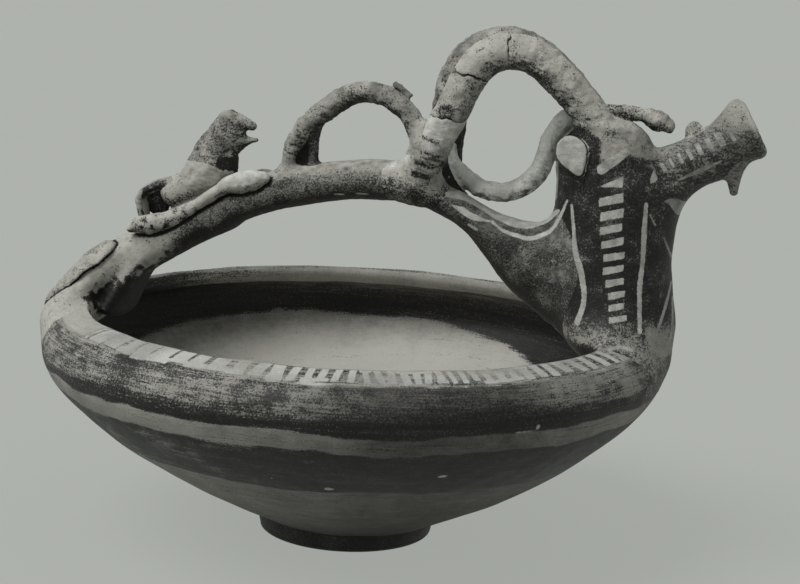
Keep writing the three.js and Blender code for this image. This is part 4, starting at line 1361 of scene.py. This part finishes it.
# %% Paint neck, head and snout
crown_edge = ((112.2, 186.2), (124.4, 192.2), (138.5, 191.7))
neck_smear = ((141.5, 115), (150, 104.5))


def worn_crown(points):
    """The patch on the head, from the horn's root to the brow, where the slip is rubbed thin."""
    u, v = as_seen(*points.T)
    beside = np.maximum(0.613 * (u - 103.8) + 0.792 * (v - 205.5), u - 112.2)
    return ease((np.minimum(beside, v - along_table(u, crown_edge)) + 1.0) / 3.0)


def paint_body(points):
    x, y, z = points.T
    along, up = snout_coordinates(x, z)
    cloud, fine, blotch = ripple(points, 16, 41), ripple(points, 5, 42), ripple(points, 9, 45)
    snout = ease((along - 14) / 10) * ease((z - 172) / 8)
    crown = worn_crown(points) * (1 - snout)
    foot = ease((125 - z) / 16)
    slip = 0.88 - 0.08 * ease((z - 166) / 12) * (1 - snout) + 0.06 * cloud + 0.04 * fine
    rubbed = 0.2 + 0.26 * ease((z - 97) / 10) + 0.1 * ease((x - 138) / 8) + 0.1 * cloud + 0.06 * fine
    slip = slip - foot * rubbed - crown * (0.62 + 0.14 * blotch + 0.08 * fine)
    rubbed = 0.28 + 0.2 * ease((up - 1.5) / 6) - 0.12 * ease((-4 - up) / 5) + 0.08 * cloud + 0.04 * fine
    slip = slip - snout * rubbed
    mouth = snout * ease((along - 54) / 6) * ease((up - 2) / 8)
    lip_band = snout * ease((along - 64.5) / 2)
    slip = slip - mouth * 0.14 - lip_band * (0.1 + 0.34 * ease((up + 2) / 12))
    # Where the neck reaches inside the bowl it is painted as dark as the inside band, as painted shade under
    # the neck's foot.
    indoors = ease((132 - np.hypot(x, y)) / 4) * ease((109 - z) / 4)
    slip = slip + indoors * (0.97 - slip)
    slip = slip - 0.35 * edge(stroke(x, z, neck_smear, (1.5, 2.6)), 1.5)
    pale = 0.5 + 0.1 * crown + 0.1 * foot + 0.2 * lip_band + 0.12 * mouth
    deep, chalk = pale_strokes(points)
    return {"slip": slip, "white": edge(deep, 1.0), "pale": pale, "chalk": chalk + 0.06 * fine}


print("crown wear starts at", crown_edge[0], "and ends at", crown_edge[-1])

# %% [markdown]
# ## Slip on the handle
# The handle is painted dark below and pale on top: slip, with painted shade on its underside. Its left
# end was filled pale when the vessel was mended, and the hollow of the arch under it is painted dark,
# as painted shade. The amounts follow the height within the strap, which the coil's own share of its
# line gives.

# %% Paint the handle
strap_levels = (
    (-1.0, 0.96), (-0.62, 0.88), (-0.42, 0.64), (0.0, 0.53), (0.35, 0.45), (0.65, 0.33), (1.0, 0.14),
)
root_edge = (
    (-143.6, 103.7), (-138.6, 109.2), (-131.1, 114.8), (-115.9, 121.9), (-103.4, 128.3), (-88.5, 136.3),
    (-71.3, 146.9),
)


def paint_handle(points):
    x, y, z = points.T
    paint = paint_body(points)
    where, share, field = shares["basket_handle"]
    t = sample(share, where, points)
    along, side, above = handle_line.frame(t)
    height = np.sum((points - handle_line.at(t)) * above, -1) / handle_size(t)[1]
    cloud, fine = ripple(points, 15, 43), ripple(points, 5, 44)
    saddle = ease((x - 38) / 16)
    # Dark below and pale on top: slip, with painted shade on the underside.
    arch = along_table(height + 0.08 * cloud, strap_levels) + 0.04 * fine
    web = 0.62 - 0.12 * ease((height + 0.5) / 1.2) + 0.3 * ease((-0.55 - height) / 0.3) + 0.05 * cloud
    slip = arch * (1 - saddle) + web * saddle
    slip += 0.26 * ease(1 - np.abs(x + 36) / 13) * ease(1 - np.abs(height - 0.35) / 0.4)
    u, v = as_seen(x, -np.abs(y), z)
    # Painted shade: under the filled left end the hollow of the arch is painted dark, in slip and soil.
    root = ease((-u - 84) / 16)
    inside_rim = u + 138.6 - 0.9 * np.maximum(109.2 - v, 0)
    below = np.minimum(along_table(u, root_edge) - v - 4.5, inside_rim) + fine
    slip = slip * (1 - root) + root * (0.22 + 0.08 * fine + 0.8 * ease((below + 4.0) / 9))
    from_line = np.abs(z - 167.5 - 0.05 * x - 0.8 * cloud)
    flecks = edge(0.7 * ripple(points * (0.35, 1, 1), 3.2, 46) - 0.62 - from_line, 1.0)
    paint["white"] = np.maximum(paint["white"] * (x > 34), flecks * (np.abs(x + 4) < 30) * (y < 0))
    paint["slip"] = slip
    paint["soil"] = 0.9 * root * ease((below - 3.0) / 6)
    paint["pale"] = 0.62 + 0.08 * fine - 0.2 * saddle + 0.16 * root
    return paint


print("the strap is pale on top:", strap_levels[-1][1], "and dark below:", strap_levels[0][1])

# %% [markdown]
# ## The modelled figures
# Horns, loop, snake and dog are bare pale clay with islands of slip and soil, and painted shade
# darkens their undersides. Each has its own level of slip and of pale clay, and a few have details of
# their own, which the next cells add. Along the breaks sits dark soil; under the legs and tail and
# between the jaws the clay is painted dark, as painted shade.

# %% Tones of the figures
figure_tones = {
    "near_horn_tip": (0.26, 0.82), "near_horn_lower": (0.26, 0.76), "near_horn_crown": (0.18, 0.9),
    "near_horn_root": (0.22, 0.84), "far_horn": (0.3, 0.58), "carrying_loop": (0.28, 0.62),
    "loop_strut": (0.66, 0.5), "snake_body": (0.45, 0.9), "snake_head": (0.3, 0.7),
    "dog_body": (0.19, 0.94), "dog_head": (0.46, 0.6), "dog_upper_jaw": (0.3, 0.7),
    "dog_lower_jaw": (0.36, 0.62), "dog_near_legs": (0.14, 0.86), "dog_far_legs": (0.2, 0.8),
    "dog_rump": (0.28, 0.7), "dog_tail": (0.32, 0.76), "broken_stub": (0.3, 0.72),
    "near_ear": (0.3, 0.9), "far_ear": (0.3, 0.9),
}
# How much painted shade darkens the underside of these figures; the others take 0.44.
shade_under = {"snake_body": 0.24, "near_horn_tip": 0.2, "near_horn_lower": 0.25, "dog_near_legs": 0.26}


def soil_in_breaks(points):
    """Dark soil along the three breaks of the viewer's horn."""
    where, share, field = shares[sherds[0]]
    t = sample(share, where, points)
    lift = np.sum((points - near_horn_line.at(t)) * near_horn_line.frame(t)[2], -1)
    soil = np.zeros(len(points))
    for at, place, crack in zip(breaks, break_places, cracks):
        gap = t * near_horn_line.length - at - place[2] * lift
        soil = np.maximum(soil, 2.5 * crack * np.exp(-((gap / 0.8) ** 2)))
    return soil


figure_details = {}


def paint_figure(name, points, normals):
    slip_level, pale_level = figure_tones[name]
    cloud, fine = ripple(points, 12, 51), ripple(points, 4, 52)
    # Painted shade: clay that faces downwards is painted darker and less pale.
    under = ease((-normals[:, 2] + 0.15) / 0.9)
    paint = {
        "slip": slip_level + 0.06 * cloud + 0.05 * fine + shade_under.get(name, 0.44) * under,
        "pale": pale_level + 0.08 * ripple(points, 8, 53) - 0.15 * under,
        "soil": soil_in_breaks(points) if name in sherds else np.zeros(len(points)),
    }
    if name in figure_details:
        figure_details[name](paint, points, normals, under, cloud, fine)
    return paint


print("figures with tones:", len(figure_tones))

# %% [markdown]
# ## Details of the horns
# The viewer's horn has dark bars near its foot and a white cast on its lowest sherd; its foot and its
# back are painted darker, partly slip and partly painted shade. Its root shares the worn crown of the
# head, so that no line shows where the horn ends. The far horn is painted darker downwards, as painted
# shade on its lower limb.

# %% Paint the horns' details
horn_bars = ((34.1, 196.3, 0.9), (32.7, 189.6, 1.4), (31.4, 184.6, 1.5), (30.1, 179.4, 1.9))


def bars_at_horn_foot(paint, points, normals, under, cloud, fine):
    x, y, z = points.T
    barred = np.zeros(len(points))
    for bar_x, bar_z, half in horn_bars:
        dx = x - bar_x
        bar = np.minimum(4.6 - np.abs(dx), half - np.abs(z - bar_z + 0.27 * dx))
        barred = np.maximum(barred, np.where(y < -8, edge(bar, 1.0), 0))
    # Darker at the horn's foot and back: slip and painted shade.
    at_foot = 0.2 * ease((177.5 - z - 0.15 * (x - 30)) / 5)
    at_back = 0.22 * ease((x - 0.46 * (z - 172) - 36) / 4) * (z < 200)
    paint["slip"] = np.maximum(paint["slip"], 0.78 * barred) + (at_foot + at_back)
    paint["white"] = 0.56 * ease((z - 182 - 0.5 * (x - 34)) / 10) * (1 - barred)
    paint["chalk"] = 0.72 + 0.1 * fine


def stain_on_horn(paint, points, normals, under, cloud, fine):
    x, y, z = points.T
    paint["slip"] += 0.45 * ease((1 - np.hypot((x - 41.2) / 4.6, (z - 209.2) / 5.2)) / 0.3)


def shaded_far_horn_foot(paint, points, normals, under, cloud, fine):
    x, y, z = points.T
    # Painted shade: the far horn's lower limb is painted darker.
    paint["slip"] += 0.56 * ease((214 - z) / 16) * (x < 60)


def horn_root_like_head(paint, points, normals, under, cloud, fine):
    on_head, head = ease((209 - points[:, 2]) / 5), paint_body(points)
    for layer in ("slip", "pale"):
        paint[layer] = paint[layer] + on_head * (head[layer] - paint[layer])
    paint["white"], paint["chalk"] = head["white"] * on_head, head["chalk"]


figure_details["near_horn_tip"] = bars_at_horn_foot
figure_details["near_horn_lower"] = stain_on_horn
figure_details["near_horn_root"] = horn_root_like_head
figure_details["far_horn"] = shaded_far_horn_foot
print("bars at the horn's foot:", len(horn_bars))

# %% [markdown]
# ## Details of the loop, the snake and the ears
# The snake and the flat of the ears keep a chalky white that the slip shows through; on the snake it
# is thinner underneath, as painted shade. The ears' edges are painted dark, partly slip and partly
# painted shade, and the web beside the loop's strut is painted dark in the soil layer, as painted
# shade in its recess.

# %% Paint the loop's, the snake's and the ears' details
def shade_beside_strut(paint, points, normals, under, cloud, fine):
    x, y, z = points.T
    # Painted shade in the recess of the web beside the strut.
    paint["soil"] = 0.85 * ease((-25.5 - x) / 1.5) * ease((193 - z) / 4)


def chalky_snake(paint, points, normals, under, cloud, fine):
    on_brow = ease((points[:, 0] - 106) / 6)
    # Less white on the snake's underside: painted shade.
    paint["white"] = 0.6 + 0.05 * fine - 0.5 * on_brow - 0.12 * under
    paint["chalk"] = 0.82 + 0.1 * cloud


def ear_edge_slip_and_shade(paint, points, normals, under, cloud, fine):
    flat = np.abs(normals[:, 1])
    # The ear's edges painted darker: slip, with painted shade along the edge.
    paint["slip"] += 0.6 * ease((0.6 - flat) / 0.4)
    paint["white"] = 0.58 * ease((flat - 0.6) / 0.3)
    paint["chalk"] = 0.56 + 0.1 * fine


figure_details["loop_strut"] = shade_beside_strut
figure_details["snake_body"] = chalky_snake
figure_details["near_ear"] = figure_details["far_ear"] = ear_edge_slip_and_shade
print("figures with details so far:", len(figure_details))

# %% [markdown]
# ## Details of the dog
# The dog's chest was filled smooth and pale when the vessel was mended, and above it the old crusted
# head starts at a line. A dark patch is left under its chin. Its stretched leg is white towards the
# paw, less white underneath as painted shade, and has two small dark pits. The hollow behind its back
# is painted dark, as painted shade.

# %% Paint the dog's details
paw_pits = ((-103.7, 145.3), (-98.6, 146.1))


def shaded_hollow_back(paint, points, normals, under, cloud, fine):
    # Painted shade in the hollow behind the back.
    paint["slip"] += 0.5 * ease((6.6 - np.abs(points[:, 0] + 101)) / 1.5) * (normals[:, 1] < -0.5)


def filled_chest(paint, points, normals, under, cloud, fine):
    x, y, z = points.T
    filled = ease((178.4 - 0.37 * np.maximum(x + 76, 0) - z) / 1.2)
    under_chin = ease((181.5 - z) / 2) * ease((x + 70.5) / 2.5) * (1 - filled)
    paint["slip"] = paint["slip"] * (1 - filled) + 0.12 * filled + 0.6 * under_chin
    paint["soil"] = 0.6 * filled * (1 - filled) * 4 * (x < -64)
    paint["pale"] = paint["pale"] + 0.16 * filled


def white_paw(paint, points, normals, under, cloud, fine):
    x, y, z = points.T
    paint["slip"] += (0.14 + 0.1 * fine) * ease((-72 - x) / 12)
    # Less white on the leg's underside: painted shade.
    paint["white"] = 0.56 * ease((x + 68) / 5) * (1 - under)
    paint["chalk"] = 0.74 + 0.08 * fine
    for pit_x, pit_z in paw_pits:
        pit = edge(0.9 - np.hypot(x - pit_x, z - pit_z), 0.6) * (y < -11)
        paint["soil"] = np.maximum(paint["soil"], pit)


figure_details["dog_rump"] = shaded_hollow_back
figure_details["dog_head"] = filled_chest
figure_details["dog_near_legs"] = white_paw
print("figures with details:", len(figure_details))

# %% [markdown]
# ## Painted shade in the seams
# The narrow places between the dog and the handle and between its jaws are painted dark in the soil
# layer, as painted shade. The lumps keep their own distances, so the depth of this shade on one piece
# is read from how near the other piece is.

# %% Soil between neighbours
seams = {
    "basket_handle": ("dog_near_legs", "dog_far_legs", "dog_tail", "dog_body"),
    "dog_near_legs": ("basket_handle", "dog_body"), "dog_far_legs": ("basket_handle", "dog_body"),
    "dog_tail": ("basket_handle",), "dog_body": ("dog_near_legs", "dog_far_legs"),
    "dog_upper_jaw": ("dog_lower_jaw",), "dog_lower_jaw": ("dog_upper_jaw",), "dog_head": ("dog_near_legs",),
}
seam_reach, wide_seam_reach = 0.6, 2.0


def shade_in_seams(name, points, soil):
    for other in seams.get(name, ()):
        where, share, field = shares[other]
        low = grid_low + pitch * np.array([s.start for s in where])
        high = grid_low + pitch * np.array([s.stop - 1 for s in where])
        near = np.all((points > low) & (points < high), axis=1)
        gap = np.where(near, sample(field, where, points), far)
        reach = wide_seam_reach if (name, other) == ("basket_handle", "dog_near_legs") else seam_reach
        # Painted shade: darker the nearer the other piece is, and wider under the viewer's legs.
        soil = np.maximum(soil, np.exp(-((np.maximum(gap - 0.2, 0) / reach) ** 2)))
    return soil


print("pieces with soil in their seams:", len(seams))

# %% [markdown]
# ## Put the paint on the points
# Each piece now gets its amounts as attributes of its points, which the material reads. The foot is
# plain dark slip, painted lighter towards the left as painted light. Every mesh has the same layers,
# so that one recipe fits all of them.

# %% Write the layers
def put(mesh, name, values):
    kind = "FLOAT_VECTOR" if values.ndim == 2 else "FLOAT"
    layer = mesh.attributes.new(name, kind, "POINT")
    layer.data.foreach_set("vector" if values.ndim == 2 else "value", values.astype(np.float32).ravel())


def paint_foot(points):
    # Painted light: the foot is lighter towards the left, the side the light comes from.
    slip = 0.86 + 0.05 * ripple(points, 20, 61) - 0.16 * ease((15 - points[:, 0]) / 40)
    return {"slip": slip, "pale": np.full(len(points), 0.3)}


for name, piece in made.items():
    points, normals = read(piece.data, "co") / METRES, read(piece.data, "normal")
    plain = np.zeros(len(points))
    amounts = {"white": plain, "chalk": plain, "soil": plain, "ring": points * (0.25, 0.25, 0.5)}
    if name in figure_tones:
        amounts |= paint_figure(name, points, normals)
    else:
        special = {"bowl": paint_bowl, "foot": paint_foot, "basket_handle": paint_handle}
        amounts |= special.get(name, paint_body)(points)
    if name == "beard":
        amounts["slip"] = amounts["slip"] - 0.3
    # The soil layer also takes the painted shade in the seams.
    amounts["soil"] = shade_in_seams(name, points, amounts["soil"])
    for layer, values in amounts.items():
        put(piece.data, layer, values if layer == "ring" else np.clip(values, 0, 1))
print("painted", len(made), "pieces")

# %% [markdown]
# ## Painted clay as a material
# Under the slip lies a gritty, unevenly fired clay. The slip is thin, brushed in long strokes round the
# bowl and worn off in specks, and the pale paint is chalky. One recipe makes all of it from the amounts
# on the points: noise shakes each amount, and where it passes one half the layer starts. The three
# finishes share the recipe and differ in how glossy, how worn and how gritty they are. Most of the work
# is joining nodes, so a few short helpers come first.

# %% Helpers that join nodes
def node_maker(material):
    """A function that adds one node and sets or links its sockets."""
    nodes, links = material.node_tree.nodes, material.node_tree.links

    def add(kind, sockets, **settings):
        new = nodes.new("ShaderNode" + kind)
        for key, value in settings.items():
            setattr(new, key, value)
        for socket, value in sockets.items():
            if isinstance(value, bpy.types.NodeSocket):
                links.new(value, new.inputs[socket])
            else:
                new.inputs[socket].default_value = value
        return new

    return add


class ClayNodes:
    """The steps of the recipe, each of which adds its nodes to one material."""

    def __init__(self, material):
        self.add = node_maker(material)

    def amount(self, layer):
        return self.add("Attribute", {}, attribute_name=layer).outputs["Fac"]

    def noise(self, place, scale, detail=3.0):
        return self.add("TexNoise", {"Vector": place, "Scale": scale, "Detail": detail}).outputs["Fac"]

    def shaken(self, base, *shakes):
        for wave, size in shakes:
            part = self.add("Math", {0: wave, 1: size, 2: -size / 2}, operation="MULTIPLY_ADD")
            base = self.add("Math", {0: base, 1: part.outputs[0]}, operation="ADD").outputs[0]
        return base

    def step(self, value, low, high, start=0.0, end=1.0):
        sockets = {"Value": value, "From Min": low, "From Max": high, "To Min": start, "To Max": end}
        return self.add("MapRange", sockets, interpolation_type="SMOOTHSTEP").outputs["Result"]

    def blend(self, share, first, second):
        return self.add("Mix", {0: share, 6: first, 7: second}, data_type="RGBA").outputs[2]

    def reckon(self, operation, first, second):
        return self.add("Math", {0: first, 1: second}, operation=operation).outputs[0]


print("recipe steps:", [step for step in vars(ClayNodes) if not step.startswith("_")])

# %% The recipe
clay_dark, clay_light = (0.06, 0.058, 0.053, 1), (0.48, 0.475, 0.43, 1)
slip_dark, slip_light = (0.011, 0.0107, 0.01, 1), (0.06, 0.0588, 0.0545, 1)
paint_dark, paint_light = (0.1, 0.098, 0.09, 1), (0.72, 0.73, 0.68, 1)
# The soil tone darkens real soil and the painted shade of seams and hollows alike.
chip_tone, soil_and_shade_tone = (0.36, 0.355, 0.325, 1), (0.014, 0.0135, 0.0125, 1)


def painted_clay(name, gloss, wear, grit, brushed):
    material = bpy.data.materials.new(name)
    material.use_nodes = True
    links, shader = material.node_tree.links, material.node_tree.nodes["Principled BSDF"]
    shader.inputs["Specular IOR Level"].default_value = 0.25
    made_of = ClayNodes(material)
    amount, noise, shaken, step, blend = (
        made_of.amount, made_of.noise, made_of.shaken, made_of.step, made_of.blend)

    place = made_of.add("TexCoord", {}).outputs["Object"]
    brush = made_of.add("Attribute", {}, attribute_name="ring").outputs["Vector"]
    fine, grain = noise(place, 2600), noise(place, 1100)
    mottle, patch = noise(place, 220, 4.0), noise(place, 50)
    streak, thin_streak = noise(brush, 0.4, 4.0), noise(brush, 1.5, 2.0)

    worn_by = (mottle, 0.3 * wear), (grain, 1.2 * wear), (fine, 1.0 * wear)
    slip = shaken(amount("slip"), *worn_by, (streak, brushed), (thin_streak, brushed))
    bare = shaken(amount("pale"), (mottle, 0.35), (patch, 0.3), (grain, 0.4), (streak, 0.2))
    clay_tone = blend(step(bare, 0.0, 1.0), clay_dark, clay_light)
    thinness = shaken(step(slip, 0.55, 1.05, 0.6, 0.0), (thin_streak, 1.0), (mottle, 0.4))
    slip_tone = blend(thinness, slip_dark, slip_light)
    covered = step(slip, 0.3, 0.7)
    tone = blend(covered, clay_tone, slip_tone)

    paint = shaken(amount("white"), (grain, 0.4), (fine, 0.35), (mottle, 0.3))
    chalkiness = shaken(amount("chalk"), (mottle, 0.3), (grain, 0.4))
    tone = blend(step(paint, 0.4, 0.6), tone, blend(chalkiness, paint_dark, paint_light))
    cells = made_of.add("TexVoronoi", {"Vector": place, "Scale": 90.0})
    apart = shaken(cells.outputs["Distance"], (grain, 0.12))
    some = made_of.add("SeparateColor", {0: cells.outputs["Color"]}).outputs[0]
    chip = made_of.reckon("MULTIPLY", step(apart, 0.03, 0.06, 1.0, 0.0), step(some, 0.66, 0.7))
    tone = blend(chip, tone, chip_tone)
    # The soil layer: real soil along breaks and pits, painted shade in seams and hollows.
    soil = step(shaken(amount("soil"), (grain, 0.5), (mottle, 0.3)), 0.3, 0.75)
    links.new(blend(soil, tone, soil_and_shade_tone), shader.inputs["Base Color"])

    roughness = shaken(step(covered, 0.0, 1.0, 0.86, gloss), (mottle, 0.25), (thin_streak, 0.15))
    links.new(roughness, shader.inputs["Roughness"])
    gritty = (grain, 1.3 * grit), (fine, 0.9 * grit), (mottle, 1.2 * grit)
    height = made_of.reckon("SUBTRACT", shaken(covered, *gritty, (thin_streak, 0.8)), soil)
    bump = made_of.add("Bump", {"Height": height, "Strength": 0.5, "Distance": 0.0003})
    links.new(bump.outputs["Normal"], shader.inputs["Normal"])
    return material


finishes = {
    "dark_slip": painted_clay("brushed dark slip", 0.5, 1.0, 0.7, 0.8),
    "worn_slip": painted_clay("worn dark slip", 0.58, 0.85, 1.0, 0.3),
    "pale_clay": painted_clay("gritty pale clay", 0.66, 1.2, 1.4, 0.15),
}
print("finishes:", list(finishes))

# %% [markdown]
# ## Seat the pieces
# Each piece stands for one solid of the frame, rides on the only body and takes one of three
# finishes, chosen by the piece's name.

# %% Ride, replace and finish
dark = ("foot", "bowl", "spout_neck", "goat_head", "snout_spout", "beard")
worn = ("basket_handle", "near_ear", "far_ear")
for name, piece in made.items():
    slot = "dark_slip" if name in dark else "worn_slip" if name in worn else "pale_clay"
    piece.data.materials.append(finishes[slot])
    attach(piece, "root")
    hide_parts(name)
print("seated:", len(made))

# %% [markdown]
# ## Floor
# The vessel stands on a plain pale sheet. What the camera sees of it is about three quarters its own
# even tone and one quarter the lit sheet, which keeps the shadow on it as faint as on the bright sheet
# of the photograph. All other light meets the real sheet. A brighter lamp would do the same for the
# sheet, but it would wash out the clay.

# %% Lay the sheet
bpy.ops.mesh.primitive_plane_add(size=120, location=(0, 0, 0))
floor = bpy.context.object
floor.name = "pale_floor"
sheet = bpy.data.materials.new("pale sheet")
sheet.use_nodes = True
sheet_nodes, sheet_links, add = sheet.node_tree.nodes, sheet.node_tree.links, node_maker(sheet)
sheet_shader = sheet_nodes["Principled BSDF"]
sheet_shader.inputs["Roughness"].default_value = 0.95
sheet_shader.inputs["Specular IOR Level"].default_value = 0.1
sheet_place = add("TexCoord", {}).outputs["Object"]
cloud = add("TexNoise", {"Vector": sheet_place, "Scale": 9.0}).outputs["Fac"]
sheet_tones = {6: (0.335, 0.35, 0.328, 1), 7: (0.365, 0.38, 0.354, 1)}
tint = add("Mix", {0: cloud} | sheet_tones, data_type="RGBA").outputs[2]
sheet_links.new(tint, sheet_shader.inputs["Base Color"])
glow = add("Emission", {"Color": (0.462, 0.483, 0.448, 1)}).outputs[0]
rays = add("LightPath", {}).outputs
seen = rays["Is Camera Ray"]
for other in ("Is Glossy Ray", "Is Transmission Ray"):
    seen = add("Math", {0: seen, 1: rays[other]}, operation="MAXIMUM").outputs[0]
even_share = add("Math", {0: seen, 1: 0.76}, operation="MULTIPLY").outputs[0]
surface = add("MixShader", {0: even_share, 1: sheet_shader.outputs[0], 2: glow}).outputs[0]
sheet_links.new(surface, sheet_nodes["Material Output"].inputs["Surface"])
floor.data.materials.append(sheet)
print("floor laid")

# %% [markdown]
# ## Light
# One very soft lamp from the upper left does most of the lighting, and a grey sky fills the shadows.
# A sun lamp is used, because it lights the floor evenly right to the edge of the picture, and a wide
# angle makes it as soft as a studio lamp. Together they make a colour come out about as it is written.

# %% Light the stage
lamp = bpy.data.objects.new("soft_lamp", bpy.data.lights.new("soft_lamp", "SUN"))
lamp.data.energy = 2.2
lamp.data.angle = math.radians(40)
lamp.rotation_euler = (math.radians(36), 0, math.radians(-55))
bpy.context.scene.collection.objects.link(lamp)
world = bpy.data.worlds.new("grey_sky")
world.use_nodes = True
world.node_tree.nodes["Background"].inputs["Color"].default_value = (0.36, 0.365, 0.355, 1)
bpy.context.scene.world = world
print("lit by", lamp.name, "and", world.name)

# %% [markdown]
# ## Camera
# The photograph was taken from the front, a little to the right and a little above, with the plate
# tipped slightly. The place and the lens were found from the ellipses of the lip, the bands and the foot.

# %% Place the camera
camera_aim = np.array((20.92, 2.57, 119.48))
tip = math.radians(2.94)
ahead = unit(camera_aim - front_view)
right = unit(np.cross(ahead, (0, 0, 1)))
up = np.cross(right, ahead)
right, up = math.cos(tip) * right + math.sin(tip) * up, math.cos(tip) * up - math.sin(tip) * right
camera = bpy.data.objects.new("camera", bpy.data.cameras.new("camera"))
camera.data.lens, camera.data.sensor_width = 80.07, 36.0
camera.matrix_world = Matrix([
    (right[i], up[i], -ahead[i], front_view[i] * METRES) for i in range(3)
] + [(0, 0, 0, 1)])
bpy.context.scene.collection.objects.link(camera)
bpy.context.scene.camera = camera
bpy.context.scene.view_settings.view_transform = "Standard"
print("camera at", front_view)

# %% [markdown]
# The clay may reach only a little past the plain solids.
